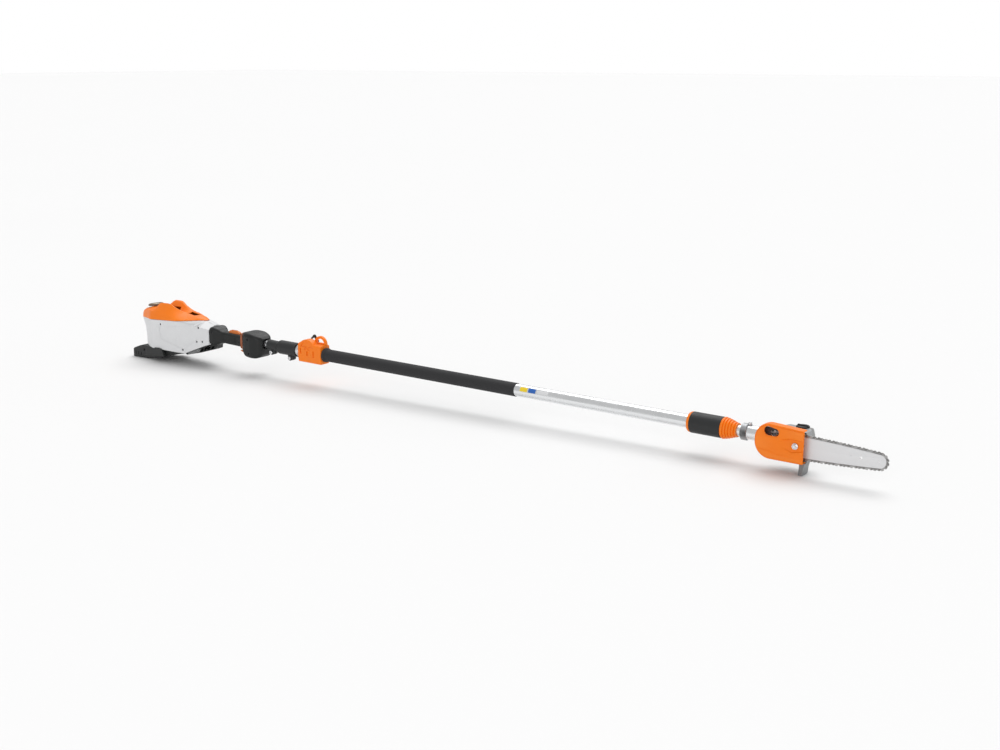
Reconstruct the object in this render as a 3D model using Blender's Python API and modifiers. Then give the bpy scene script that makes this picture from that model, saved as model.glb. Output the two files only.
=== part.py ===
"""Telescoping battery pole saw, built as separate named pieces.

The machine is drawn in a pole frame: +X runs forward along the pole's axis to the saw
head, +Z is up and -Y is the side with the sprocket cover. X = 0 is the front rim of the
coupling between the drive tube and the outer pole. Sizes are in millimetres, and every
helper turns them into metres. The empty "pole_axis" holds all pieces and lays the machine
on the floor, on its rear foot and its branch hook, with the pole a little nose down.
"""

import math

import bmesh
import bpy
from mathutils import Matrix, Vector

MM = 0.001
GAP = 0.3  # between pieces that touch on the real machine
STEPS = 32  # sides of a large round piece
SMALL_STEPS = 20  # sides of a small one

# Attitude and place of the pole frame over the floor
NOSE_DOWN_DEG = 0.8
POLE_X, POLE_Z = -611.65, 103.25

# Pole and clamp
OUTER_R, OUTER_WALL = 18.0, 1.5
OUTER_FROM, OUTER_TO = -40.0, 1512.0
INNER_R, INNER_WALL = 14.0, 1.5
INNER_FROM, INNER_TO = 130.0, 1598.0
FOAM_R, FOAM_FROM, FOAM_TO = 19.4, 140.0, 857.0
DRIVE_TUBE_R, DRIVE_TUBE_FROM, DRIVE_TUBE_TO = 12.5, -150.0, -48.0
COUPLING_FROM, COUPLING_STEP, COUPLING_TO = -106.0, -60.0, 20.0
COUPLING_REAR_R, COUPLING_FRONT_R = 16.5, 22.0
CLAMP_FROM, CLAMP_TO, CLAMP_R = 1412.0, 1499.0, 28.0
CONE_TO = 1541.0

# Drive line
SHAFT_R, SHAFT_BORE_CORNER = 7.0, 5.2
HEX_ROD_CORNER = 4.6
SHAFT_FROM, SHAFT_TO = -482.0, 1440.0
HEX_ROD_FROM, HEX_ROD_TO = 150.0, 1634.0
MOTOR_FROM, MOTOR_TO, MOTOR_R = -460.0, -415.0, 38.0

# Battery housing
HOUSING_HALF_WIDTH, WALL = 60.0, 3.0
HOUSING_FRONT = -350.0
BATTERY_TOP = (-638.0, 0.0, 63.0)
BATTERY_LEAN_DEG, RING_LEAN_DEG = -2.0, -7.0
BATTERY_FROM, BATTERY_TO, BATTERY_HALF_WIDTH, BATTERY_DEPTH = 3.0, 52.0, 26.0, 104.0
RING_R = 25.8

# Rear handle
GRIP_TOP, GRIP_BOTTOM = 17.0, -21.0

# Saw head
HEAD_X, BAR_Z = 1655.0, -6.0  # output axle of the gearbox, and centre line of the bar
BAR_Y, BAR_THICKNESS = -25.0, 4.0
BAR_TIP, BAR_TAIL = 1939.0, 1680.0
BAR_HALF_HEIGHT, NOSE_R = 27.0, 17.0
CHAIN_PITCH_PAIR = 19.05  # two pitches of a 3/8 inch chain
CHAIN_DEPTH = 7.0
SPROCKET_R = 17.0
STUD_X, STUD_R = 1715.0, 4.0
COVER_FROM, COVER_TO, COVER_TOP, COVER_BOTTOM = 1606.0, 1737.0, 45.0, -46.0
COVER_FACE, COVER_BACK = -45.0, -21.5
GEARBOX_Y, GEARBOX_TOP = (-21.0, 14.0), 30.0
TANK_TOP, TANK_Y, CAP_X, CAP_Y = 30.0, 38.0, 1703.0, 26.5

for leftover in list(bpy.data.objects):
    bpy.data.objects.remove(leftover)
parts = bpy.data.collections.new("pole_saw")
cutters = bpy.data.collections.new("cutters")
for collection in (parts, cutters):
    bpy.context.scene.collection.children.link(collection)
pole_axis = bpy.data.objects.new("pole_axis", None)
pole_axis.location = (POLE_X * MM, 0, POLE_Z * MM)
pole_axis.rotation_euler = (0, math.radians(NOSE_DOWN_DEG), 0)
parts.objects.link(pole_axis)


def material(name, colour, roughness, metallic=0.0):
    made = bpy.data.materials.new(name)
    made.use_nodes = True
    shader = made.node_tree.nodes["Principled BSDF"]
    shader.inputs["Base Color"].default_value = (*colour, 1)
    shader.inputs["Roughness"].default_value = roughness
    shader.inputs["Metallic"].default_value = metallic
    return made


ORANGE = material("orange_plastic", (0.85, 0.24, 0.02), 0.4)
WHITE = material("light_grey_plastic", (0.72, 0.72, 0.73), 0.45)
BLACK = material("black_plastic", (0.025, 0.027, 0.028), 0.5)
RUBBER = material("foam_rubber", (0.04, 0.04, 0.042), 0.85)
ALUMINIUM = material("aluminium_tube", (0.82, 0.82, 0.84), 0.3, 1)
CASTING = material("cast_magnesium", (0.42, 0.42, 0.44), 0.55, 0.8)
STEEL = material("steel", (0.6, 0.6, 0.62), 0.3, 1)
MESH_GREY = material("filter_mesh", (0.25, 0.26, 0.26), 0.8)
COPPER = material("copper_winding", (0.7, 0.35, 0.15), 0.4, 1)
BOARD = material("circuit_board", (0.02, 0.2, 0.08), 0.5)
TAUPE = material("battery_ring", (0.3, 0.22, 0.15), 0.5)


# ---------------------------------------------------------------- helpers


def add(name, mesh, paint, origin=(0, 0, 0), rotation=(0, 0, 0)):
    """An object with this mesh, at origin in the pole frame, in millimetres."""
    made = bpy.data.objects.new(name, mesh)
    made.location = Vector(origin) * MM
    made.rotation_euler = rotation
    if paint is None:
        cutters.objects.link(made)
        made.hide_render = True
        made.display_type = "WIRE"
    else:
        mesh.materials.append(paint)
        parts.objects.link(made)
    made.parent = pole_axis
    return made


def mesh_of(name, build):
    mesh = bpy.data.meshes.new(name)
    bm = bmesh.new()
    build(bm)
    bmesh.ops.recalc_face_normals(bm, faces=bm.faces)
    bm.to_mesh(mesh)
    bm.free()
    return mesh


def box(name, low, high, paint=None, origin=(0, 0, 0), rotation=(0, 0, 0)):
    """A box from its low to its high corner, measured from origin."""
    low, high = Vector(low) * MM, Vector(high) * MM

    def build(bm):
        place = Matrix.Translation((low + high) / 2) @ Matrix.Diagonal((*(high - low), 1))
        bmesh.ops.create_cube(bm, size=1, matrix=place)

    return add(name, mesh_of(name, build), paint, origin, rotation)


TURN_TO = {
    "X": Matrix.Rotation(math.radians(90), 4, "Y"),
    "Y": Matrix.Rotation(math.radians(-90), 4, "X"),
    "Z": Matrix.Identity(4),
}


def rod(name, axis, start, end, radius, paint=None, origin=(0, 0, 0), end_radius=None, steps=None):
    """A cylinder or cone along X, Y or Z from start to end, through origin."""
    sides = steps or (STEPS if radius > 12 else SMALL_STEPS)

    def build(bm):
        middle = Matrix.Translation((0, 0, (start + end) / 2 * MM))
        bmesh.ops.create_cone(
            bm,
            cap_ends=True,
            segments=sides,
            radius1=radius * MM,
            radius2=(radius if end_radius is None else end_radius) * MM,
            depth=(end - start) * MM,
            matrix=TURN_TO[axis] @ middle,
        )

    made = add(name, mesh_of(name, build), paint, origin)
    smooth(made)
    return made


def smooth(thing):
    thing.data.shade_smooth()
    thing.data.set_sharp_from_angle(angle=math.radians(35))


def turned(name, profile, paint=None, origin=(0, 0, 0), closed=True, steps=STEPS, axis="X"):
    """A turned piece about X or Y. The profile is (radius, place on the axis), from the
    far end down the outer side, then back up the bore."""
    mesh = bpy.data.meshes.new(name)
    points = [(radius * MM, 0, along * MM) for radius, along in profile]
    edges = [(i, i + 1) for i in range(len(points) - 1)]
    if closed:
        edges.append((len(points) - 1, 0))
    mesh.from_pydata(points, edges, [])
    turn = (0, math.radians(90), 0) if axis == "X" else (math.radians(-90), 0, 0)
    made = add(name, mesh, paint, origin, turn)
    screw = made.modifiers.new("turn", "SCREW")
    screw.steps = screw.render_steps = steps
    screw.use_merge_vertices = True
    screw.merge_threshold = 0.00001
    screw.use_smooth_shade = False
    return made


def tube(name, start, end, outer, inner, paint=None, steps=STEPS):
    profile = [(outer, end), (outer, start), (inner, start), (inner, end)]
    return turned(name, profile, paint, steps=steps)


def plate(name, points, low, high, paint=None, origin=(0, 0, 0), plane="XZ", round_by=0.0):
    """A flat outline in the XZ or XY plane, thick from low to high across it."""
    curve = bpy.data.curves.new(name, "CURVE")
    curve.dimensions = "2D"
    curve.fill_mode = "BOTH"
    curve.extrude = (high - low) / 2 * MM
    spline = curve.splines.new("POLY")
    spline.points.add(len(points) - 1)
    for point, (a, b) in zip(spline.points, points):
        point.co = (a * MM, b * MM, 0, 1)
    spline.use_cyclic_u = True
    drawn = bpy.data.objects.new(name, curve)
    parts.objects.link(drawn)
    bpy.context.view_layer.update()
    graph = bpy.context.evaluated_depsgraph_get()
    mesh = bpy.data.meshes.new_from_object(drawn.evaluated_get(graph))
    bpy.data.objects.remove(drawn)
    bpy.data.curves.remove(curve)
    bm = bmesh.new()
    bm.from_mesh(mesh)
    bmesh.ops.remove_doubles(bm, verts=bm.verts, dist=0.000001)
    bmesh.ops.dissolve_limit(bm, angle_limit=0.001, verts=bm.verts, edges=bm.edges)
    if plane == "XZ":
        shift = Matrix.Translation((0, (low + high) / 2 * MM, 0))
        bm.transform(shift @ Matrix.Rotation(math.radians(90), 4, "X"))
    else:
        bm.transform(Matrix.Translation((0, 0, (low + high) / 2 * MM)))
    bmesh.ops.recalc_face_normals(bm, faces=bm.faces)
    bm.to_mesh(mesh)
    bm.free()
    mesh.name = name
    mesh.materials.clear()
    made = add(name, mesh, paint, origin)
    if round_by:
        bevel(made, round_by)
    return made


def loft(name, sections, paint=None, wall=0.0, origin=(0, 0, 0)):
    """A skin through rings of points in millimetres. With a wall it is an open tube of that
    thickness, and otherwise it is closed at both ends."""

    def build(bm):
        rings = [[bm.verts.new(Vector(p) * MM) for p in ring] for ring in sections]
        for one, two in zip(rings, rings[1:]):
            for i in range(len(one)):
                j = (i + 1) % len(one)
                bm.faces.new((one[i], one[j], two[j], two[i]))
        if not wall:
            bm.faces.new(rings[0])
            bm.faces.new(reversed(rings[-1]))

    made = add(name, mesh_of(name, build), paint, origin)
    if wall:
        shell = made.modifiers.new("wall", "SOLIDIFY")
        shell.thickness = wall * MM
        shell.offset = -1
    return made


def bevel(thing, width, segments=1):
    rounding = thing.modifiers.new("bevel", "BEVEL")
    rounding.width = width * MM
    rounding.segments = segments
    rounding.limit_method = "ANGLE"
    rounding.angle_limit = math.radians(40)
    return thing


def boolean(thing, operation, others):
    for other in others:
        step = thing.modifiers.new(operation.lower(), "BOOLEAN")
        step.operation = operation
        step.object = other
        step.solver = "EXACT"
    return thing


def cut(thing, *others):
    return boolean(thing, "DIFFERENCE", others)


def join(thing, *others):
    return boolean(thing, "UNION", others)


def keep(thing, *others):
    return boolean(thing, "INTERSECT", others)


def arc(centre, radius, start_deg, end_deg, count):
    """Points of an arc, from start to end, counted from the first axis."""
    cx, cz = centre
    step = math.radians(end_deg - start_deg) / (count - 1)
    angles = [math.radians(start_deg) + step * i for i in range(count)]
    return [(cx + radius * math.cos(a), cz + radius * math.sin(a)) for a in angles]


def ring(x, half_width, bottom, top, corner, count=3):
    """A rounded rectangle across the pole at x, as a ring of points."""
    corners = (
        ((half_width - corner, top - corner), 0),
        ((-half_width + corner, top - corner), 90),
        ((-half_width + corner, bottom + corner), 180),
        ((half_width - corner, bottom + corner), 270),
    )
    return [
        (x, y, z)
        for centre, start in corners
        for y, z in arc(centre, corner, start, start + 90, count)
    ]


RIGHT_SIDE = box("right_side", (-900, -200, -200), (2200, -GAP / 2, 200))
LEFT_SIDE = box("left_side", (-900, GAP / 2, -200), (2200, 200, 200))


# ---------------------------------------------------------------- battery housing

HOUSING_SIDE = [
    (-675, 27), (-652, 0), (-644.5, -28), (-643, -60), (-622, -66), (-446, -66), (-372, -35),
    (-350, -27), (-350, 34), (-366, 41), (-396, 45), (-480, 39), (-596, 31),
]
HOUSING_PLAN = [(-675, 28), (-596, 60), (-478, 60), (-350, 34)]
HOUSING_SIDE_INSIDE = [
    (-671, 80), (-671, 28), (-648.5, 1.5), (-641.2, -26), (-639.8, -57), (-621, -63), (-446.7, -63),
    (-373, -32), (-353, -24.5), (-353, 31.8), (-367, 38), (-396, 41.5), (-396, 80),
]
HOUSING_PLAN_INSIDE = [(-671.5, 26.5), (-595.4, 57), (-478.6, 57), (-353, 31.2)]
# Where the front of the housing slopes off: x, half width and height of the seam with the
# top cover, then half width and height of the shoulder
BOW_STATIONS = [
    (-484, 60.5, 38.8, 66, 38.8),
    (-470, 56, 39.7, 60, 38),
    (-446, 43, 41.4, 54, 36),
    (-415, 25, 43.6, 47.2, 32),
    (-386, 9, 44.2, 41.4, 28),
    (-340, 4, 32, 32, 20),
]


def both_sides(points):
    """An outline from the points of its +Y side, mirrored to the other side."""
    return [*points, *((x, -y) for x, y in reversed(points))]


def bow_room(name, inward, down):
    """The space above the sloping front of the housing, on both sides of it."""
    rooms = []
    for side in (-1, 1):
        rings = []
        for x, seam_y, seam_z, shoulder_y, shoulder_z in BOW_STATIONS:
            drop = (seam_z - shoulder_z) / (shoulder_y - seam_y)
            low = shoulder_z - 30 * drop - down
            seam_y, outer = max(seam_y - inward, 0.5), shoulder_y + 30
            points = [(seam_y, seam_z - down), (outer, low), (outer, 90), (seam_y, 90)]
            rings.append([(x, y * side, z) for y, z in points])
        rooms.append(loft(f"{name}_{side + 1}", rings))
    return rooms


def battery_housing():
    plan = plate("housing_plan", both_sides(HOUSING_PLAN), -200, 200, plane="XY")
    inside = plate("housing_inside", HOUSING_SIDE_INSIDE, -100, 100)
    inside_plan = plate("housing_plan_inside", both_sides(HOUSING_PLAN_INSIDE), -200, 200, plane="XY")
    keep(inside, inside_plan)
    cut(inside, *bow_room("deck_room", 3, 3.4))
    neck_hole = box("neck_hole", (-360, -20, -12), (-340, 20, 18))
    intake_hole = plate("intake_hole", [(-436, -80), (-436, -56), (-372, -28), (-372, -80)], -36, 36)
    bow = bow_room("bow_room", 0, 0)
    for name, side in (("battery_housing_right", RIGHT_SIDE), ("battery_housing_left", LEFT_SIDE)):
        shell = plate(name, HOUSING_SIDE, -HOUSING_HALF_WIDTH, HOUSING_HALF_WIDTH, WHITE)
        keep(shell, plan)
        cut(shell, *bow, inside, neck_hole, intake_hole)
        keep(shell, side)


# One row per station along the orange cover: x, half width and height of the seam, then
# the shoulder, the crest and the centre line, as (y, z) or z.
COVER_STATIONS = [
    (-675, 28, 27, (26, 42), (16, 48), 49),
    (-664, 32, 27.5, (30, 52), (20, 57), 58),
    (-640, 42, 29, (38, 57), (26, 62.5), 63),
    (-602, 58, 31.4, (50, 58), (28, 70), 62),
    (-574, 59.4, 33.4, (51.5, 58.5), (27, 87), 59),
    (-542, 60, 35.5, (52.5, 56.5), (25, 88), 56),
    (-514, 60, 37.3, (53, 54), (23, 76), 57),
    (-488, 60, 39.1, (53, 51), (21, 66.5), 60),
    (-470, 56, 40.5, (47, 50), (19, 62), 59.5),
    (-446, 43, 42, (33, 50), (16, 58), 58.5),
    (-415, 25, 44.4, (20, 50), (10, 54), 54.5),
    (-387, 8, 45.4, (6, 46.4), (3, 46.8), 47),
]


def cover_ring(x, half, seam, shoulder, crest, middle):
    """One closed section of the orange cover, with a flat underside at the seam."""
    between = (crest[0] * 0.55, (crest[1] + middle) / 2)
    side = [(half, seam), shoulder, crest, between]
    around = [*side, (0, middle), *((-y, z) for y, z in reversed(side))]
    return [(x, y, z + GAP) for y, z in around]


def top_cover():
    cover = loft("top_cover", [cover_ring(*station) for station in COVER_STATIONS], ORANGE)
    hollow = []
    for x, half, seam, (shoulder_y, shoulder_z), (crest_y, crest_z), middle in COVER_STATIONS:
        shoulder = (shoulder_y - WALL * 0.9, shoulder_z - WALL)
        crest = (crest_y - 1, crest_z - WALL)
        hollow.append([x, half - WALL, seam - 15, shoulder, crest, middle - WALL])
    hollow[0][0] = -671.5
    hollow[-1] = [-397, 10, 30, (8, 44), (4, 45), 45.5]
    cut(cover, loft("cover_hollow", [cover_ring(*station) for station in hollow]))
    low = (BATTERY_FROM - 1, -BATTERY_HALF_WIDTH - 1, -25)
    high = (BATTERY_TO + 1, BATTERY_HALF_WIDTH + 1, 40)
    lean = (0, math.radians(BATTERY_LEAN_DEG), 0)
    opening = box("battery_opening", low, high, origin=BATTERY_TOP, rotation=lean)
    latch_slot = box("latch_slot", (-579, -15, 40), (-530, 15, 80))
    panel_hole = box("panel_hole", (-474, -13, 40), (-432, 13, 80))
    cut(cover, opening, latch_slot, panel_hole)


def battery():
    lean = (0, math.radians(BATTERY_LEAN_DEG), 0)
    near, far, half, depth = BATTERY_FROM, BATTERY_TO, BATTERY_HALF_WIDTH, BATTERY_DEPTH
    pack = box("battery_pack", (near, -half, -depth), (far, half, 3), ORANGE, BATTERY_TOP, lean)
    bevel(pack, 3)
    cap = turned(
        "battery_cap",
        [(0, 9.5), (10, 9), (18.5, 7), (18.5, 3.4), (0, 3.4)],
        origin=BATTERY_TOP,
        closed=False,
    )
    tilt = (0, math.radians(RING_LEAN_DEG), 0)
    cap.rotation_euler = tilt
    neck = box("battery_neck", (4, -8, 0), (16, 8, 7), origin=BATTERY_TOP, rotation=lean)
    join(pack, neck, cap)
    grip = turned(
        "battery_ring",
        [(22.5, 10), (RING_R, 7.5), (RING_R, 4.6), (23.5, 3.4), (19, 3.4), (19, 8.5), (20.5, 10)],
        TAUPE,
        BATTERY_TOP,
    )
    grip.rotation_euler = tilt
    low, high = (near - 4, -half - 4, -depth - 9), (far + 4, half + 4, -depth + 10)
    socket = box("battery_socket", low, high, BLACK, BATTERY_TOP, lean)
    low, high = (near - 0.5, -half - 0.5, -depth - 0.5), (far + 0.5, half + 0.5, -depth + 30)
    cut(socket, box("battery_well", low, high, origin=BATTERY_TOP, rotation=lean))
    latch_side = [(-7, 4), (-7, -3), (24, -4), (28, 8), (24, 8), (20, 1)]
    bevel(plate("battery_latch", latch_side, -13, 13, BLACK, (-566, 0, 52)), 1)


def control_panel():
    panel = box("control_panel", (-473, -12, 47), (-433, 12, 52), BLACK)
    pocket = rod("button_pocket", "Z", 48, 60, 5.4, origin=(-444, 0, 0))
    cut(panel, pocket)
    rod("mode_button", "Z", -2.2, 3, 5, ORANGE, (-444, 0, 51.5))


INTAKE_SIDE = [
    (-446, -67.2), (-372, -36.2), (-348, -30), (-330, -26.5), (-338, -42), (-382, -57), (-440, -70.5),
]
INTAKE_PLAN = [(-446, 50), (-384, 40), (-352, 26), (-330, 10)]


def intake():
    frame = plate("intake_frame", INTAKE_SIDE, -60, 60, BLACK)
    keep(frame, plate("intake_plan", both_sides(INTAKE_PLAN), -200, 200, plane="XY"))
    window = plate("filter_window", [(-430, -63.4), (-386, -45), (-384, -54), (-426, -65.5)], -60, 60)
    well = plate("intake_well", [(-428, -52), (-352, -20), (-352, -40), (-386, -51), (-420, -61)], -33, 33)
    slots = []
    for i, (x, z) in enumerate(((-380, -43), (-369, -39), (-358, -36), (-347, -34))):
        points = [(x, z), (x + 6.5, z + 1.5), (x + 2, z - 10), (x - 5, z - 12)]
        slots.append(plate(f"intake_slot_{i}", points, -60, 60))
    cut(frame, well, window, *slots)
    neck = loft("neck_room", [ring(x, w + GAP, b - GAP, t, c) for x, w, b, t, c in HANDLE_STATIONS[:5]])
    cut(neck, box("neck_room_end", (-400, -80, -80), (HOUSING_FRONT, 80, 80)))
    cut(frame, neck)
    mesh = plate(
        "intake_filter",
        [(-424, -61.3), (-388, -46.8), (-387, -53), (-421, -63.3)],
        -60,
        60,
        MESH_GREY,
    )
    keep(mesh, plate("filter_plan", [(x, y * 0.95) for x, y in both_sides(INTAKE_PLAN)], -200, 200, plane="XY"))
    cut(mesh, plate("filter_core", [(-440, -67.6), (-440, -30), (-380, -30), (-380, -49.4)], -35, 35))


FOOT_SIDE = [
    (-720, -108), (-714, -113), (-700, -113), (-634, -105), (-562, -95), (-486, -76),
    (-452, -69), (-452, -66.8), (-622, -66.8), (-646, -62), (-674, -70), (-706, -82), (-718, -92),
]
FOOT_PLAN = [(-720, 38), (-712, 45), (-640, 50), (-600, 53), (-540, 50), (-452, 40)]
FOOT_EAR = [(-592, -96), (-590, -68), (-582, -63), (-562, -61.5), (-548, -65), (-538, -88)]


def rear_foot():
    foot = plate("rear_foot", FOOT_SIDE, -60, 60, BLACK)
    keep(foot, plate("foot_plan", both_sides(FOOT_PLAN), -200, 200, plane="XY"))
    ears = plate("foot_ears", FOOT_EAR, -64, 64)
    cut(ears, box("foot_ear_lane", (-700, -60.3, -66.5), (-400, 60.3, 0)))
    cut(foot, box("foot_shell_room", (-660, -60.3, -66.5), (-430, 60.3, 0)))
    join(foot, ears)


# ---------------------------------------------------------------- motor and handle


def motor():
    tube("motor_stator", MOTOR_FROM, MOTOR_TO, MOTOR_R, 26.5, COPPER)
    rotor = rod("motor_rotor", "X", MOTOR_FROM + 2, MOTOR_TO - 2, 25.5, STEEL)
    cut(rotor, rod("rotor_bore", "X", MOTOR_FROM - 5, MOTOR_TO + 5, SHAFT_R + GAP))
    hub = tube("cooling_fan", MOTOR_FROM - 18, MOTOR_FROM - 3, 14, SHAFT_R + GAP, BLACK)
    for i in range(7):
        blade = box(f"fan_blade_{i}", (MOTOR_FROM - 17, 10, -1), (MOTOR_FROM - 4, 34, 1))
        blade.rotation_euler = (i * math.tau / 7, 0, 0)
        join(hub, blade)
    tube("motor_bearing", -411, -400, 17, SHAFT_R + GAP, STEEL)
    carrier = box("motor_carrier", (MOTOR_TO + GAP, -39, -30), (-397, 39, 20), CASTING)
    cut(carrier, rod("carrier_bore", "X", -430, -380, 17 + GAP))
    shaft = rod("rear_drive_shaft", "X", SHAFT_FROM, SHAFT_TO, SHAFT_R, STEEL)
    cut(shaft, rod("shaft_bore", "X", HEX_ROD_FROM - 20, SHAFT_TO + 10, SHAFT_BORE_CORNER, steps=6))
    board = box("controller_board", (-560, -40, -60), (-470, 40, -52), BOARD)
    chips = box("controller_chips", (-548, -30, -53), (-482, 30, -40))
    join(board, chips)


HANDLE_STATIONS = [
    (-352, 32, -27, 30, 13),
    (-338, 32, -28.5, 32, 13),
    (-324, 27.5, -26.5, 27, 11),
    (-314, 20.5, -21, 20.5, 9),
    (-304, 17, -19.5, GRIP_TOP + 1, 9),
    (-280, 17, -20.5, GRIP_TOP + 1, 10),
    (-245, 17.5, GRIP_BOTTOM, GRIP_TOP, 10),
    (-212, 19, -22, 17, 10),
]


def handle():
    rings = [ring(*station) for station in HANDLE_STATIONS]
    trigger_slot = box("trigger_slot", (-236, -6.5, -40), (-205, 6.5, -12))
    lockout_slot = box("lockout_slot", (-289, -6.5, 6), (-232, 6.5, 40))
    for name, side in (("handle_right", RIGHT_SIDE), ("handle_left", LEFT_SIDE)):
        shell = loft(name, rings, BLACK, wall=2.6)
        cut(shell, trigger_slot, lockout_slot)
        cut(shell, box(name + "_trim", (-400, -80, -80), (HOUSING_FRONT + GAP, 80, 80)))
        keep(shell, side)


def controls():
    plate(
        "lockout_lever",
        [(-3.5, -3), (-3.5, 3), (2, 9), (38, 7.5), (46, 3), (46, -3)],
        -5.5,
        5.5,
        ORANGE,
        (-282, 0, 17),
    )
    plate(
        "trigger",
        [(-4, 3), (4, 3), (5, -12), (2, -22), (-5, -27), (-20, -22), (-20, -19), (-8, -20), (-5, -10)],
        -5.5,
        5.5,
        ORANGE,
        (-213, 0, -14),
    )
    box("trigger_switch", (-262, -8, -16), (-240, 8, -8.5), BLACK)


GUARD_STATIONS = [
    (-204, 25, -28, 31, 12),
    (-194, 33, -38, 33.5, 12),
    (-181, 38, -45, 34, 12),
    (-160, 38.5, -47, 33, 12),
    (-146, 36.5, -46.5, 30, 12),
    (-131, 30, -42, 25, 11),
    (-122, 21, -33, 18, 9),
]


def hand_guard():
    rings = [ring(*station) for station in GUARD_STATIONS]
    room = [ring(x, w - 2.8, b + 2.8, t - 2.8, c) for x, w, b, t, c in GUARD_STATIONS]
    room[0] = [(-210, y, z) for _, y, z in room[0]]
    hollow = loft("guard_hollow", room)
    cut(hollow, box("guard_front_wall", (-137, -60, -60), (-90, 60, 60)))
    tube_hole = rod("guard_tube_hole", "X", -140, -95, DRIVE_TUBE_R + GAP)
    recess = rod("guard_recess", "X", -134, -90, 16.5)
    for name, side in (("guard_right", RIGHT_SIDE), ("guard_left", LEFT_SIDE)):
        shell = loft(name, rings, BLACK)
        cut(shell, hollow, tube_hole, recess)
        keep(shell, side)
    collar = loft(
        "guard_collar",
        [ring(-224, 21.5, -24.5, 20, 9), ring(-214, 23, -26, 27, 10), ring(-204.3, 25, -28, 31, 12)],
        ORANGE,
    )
    opening = [ring(x, 20.2, -23.4, 18.4, 9) for x in (-230, -200)]
    cut(collar, loft("collar_opening", opening))
    cut(collar, box("collar_trigger_gap", (-245, -7.5, -60), (-207, 7.5, -14)))
    seat = loft("tube_mount", [ring(x, 28, -33, 28, 10) for x in (-196, -192)], CASTING)
    cut(seat, rod("tube_mount_bore", "X", -200, -190, 8.5))
    sleeve = tube("tube_mount_sleeve", -194, -150.3, 16, 8.5)
    join(seat, sleeve)


# ---------------------------------------------------------------- pole


def coupling():
    sleeve = turned(
        "coupling_sleeve",
        [
            (COUPLING_FRONT_R, COUPLING_TO),
            (COUPLING_FRONT_R, COUPLING_STEP + 6),
            (COUPLING_FRONT_R - 2.5, COUPLING_STEP),
            (COUPLING_REAR_R, COUPLING_STEP - 8),
            (COUPLING_REAR_R + 1, COUPLING_FROM),
            (DRIVE_TUBE_R + GAP, COUPLING_FROM),
            (DRIVE_TUBE_R + GAP, COUPLING_STEP + 14),
            (OUTER_R + GAP, COUPLING_STEP + 14.5),
            (OUTER_R + GAP, COUPLING_TO),
        ],
        BLACK,
    )
    for number, (x, z, size) in enumerate(((-89, -20.5, 8.5), (-9.5, -28.5, 8.5))):
        lug = plate(
            f"coupling_lug_{number}",
            [(x - size, 0), *arc((x, z), size, 180, 360, 9), (x + size, 0)],
            -10,
            10,
        )
        bore = DRIVE_TUBE_R + GAP if number == 0 else OUTER_R + GAP
        cut(lug, rod(f"coupling_lug_bore_{number}", "X", x - 40, x + 30, bore))
        join(sleeve, lug)
        cut(sleeve, rod(f"coupling_bolt_hole_{number}", "Y", -30, 30, 3.4, origin=(x, 0, z)))
        cut(sleeve, box(f"coupling_slit_{number}", (x - 24, -1.2, z - 20), (x + 30, 1.2, -10)))
        turned(
            ("coupling_bolt_rear", "coupling_bolt_front")[number],
            [(0, 15), (5.5, 15), (5.5, 10.3), (3, 10.3), (3, -10.3), (5.5, -10.3), (5.5, -15), (0, -15)],
            STEEL,
            (x, 0, z),
            closed=False,
            steps=SMALL_STEPS,
            axis="Y",
        )


def strap_bracket():
    """The orange carrier on the pole: a saddle, its arch and a standing strap loop."""
    profile = [(22, 26), (22, -10), (19, -30), (-19, -30), (-22, -10), (-22, 26), (-14, 31), (14, 31)]
    bracket = loft("strap_bracket", [[(x, y, z) for y, z in profile] for x in (36, 132)], ORANGE)
    bevel(bracket, 2.5)
    arch = plate("bracket_arch", [(38, 8), *arc((74, 8), 36, 175, 5, 13), (110, 8)], -22, 1.6)
    join(bracket, arch)
    recess = plate("arch_recess", [(45, 20), *arc((74, 12), 26, 160, 20, 9), (103, 20)], -30, -20)
    slots = [box(f"bracket_slot_{i}", (x - 2, -30, -2), (x + 2, -19, 12)) for i, x in enumerate((50, 76, 102))]
    cut(bracket, rod("bracket_bore", "X", 0, 160, OUTER_R + GAP), recess, *slots)
    loop_side = [(86, 31.3), (86, 36), *arc((110, 31.5), 24, 150, 0, 10), (134, 31.3), (124, 31.3)]
    loop = plate("strap_loop", loop_side, 2, 10, ORANGE)
    hole = plate("loop_hole", [(95, 34.5), (95, 37), *arc((110, 31), 17, 147, 12, 9)], -5, 20)
    cut(loop, hole, rod("gate_pin_hole", "Y", 3.7, 20, 1.8, origin=(90, 0, 34.5)))
    gate_side = [
        *arc((0, 0), 3.3, 180, 360, 7), (4, 3), (-3, 8), (-10, 20),
        (-15, 20.5), (-27, 8), (-24, 5), (-13, 13), (-7, 4),
    ]
    gate = plate("strap_gate", gate_side, 10.5, 16, BLACK, (90, 0, 34.5))
    join(gate, rod("gate_pin", "Y", 4, 12, 1.5, origin=(90, 0, 34.5)))


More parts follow.
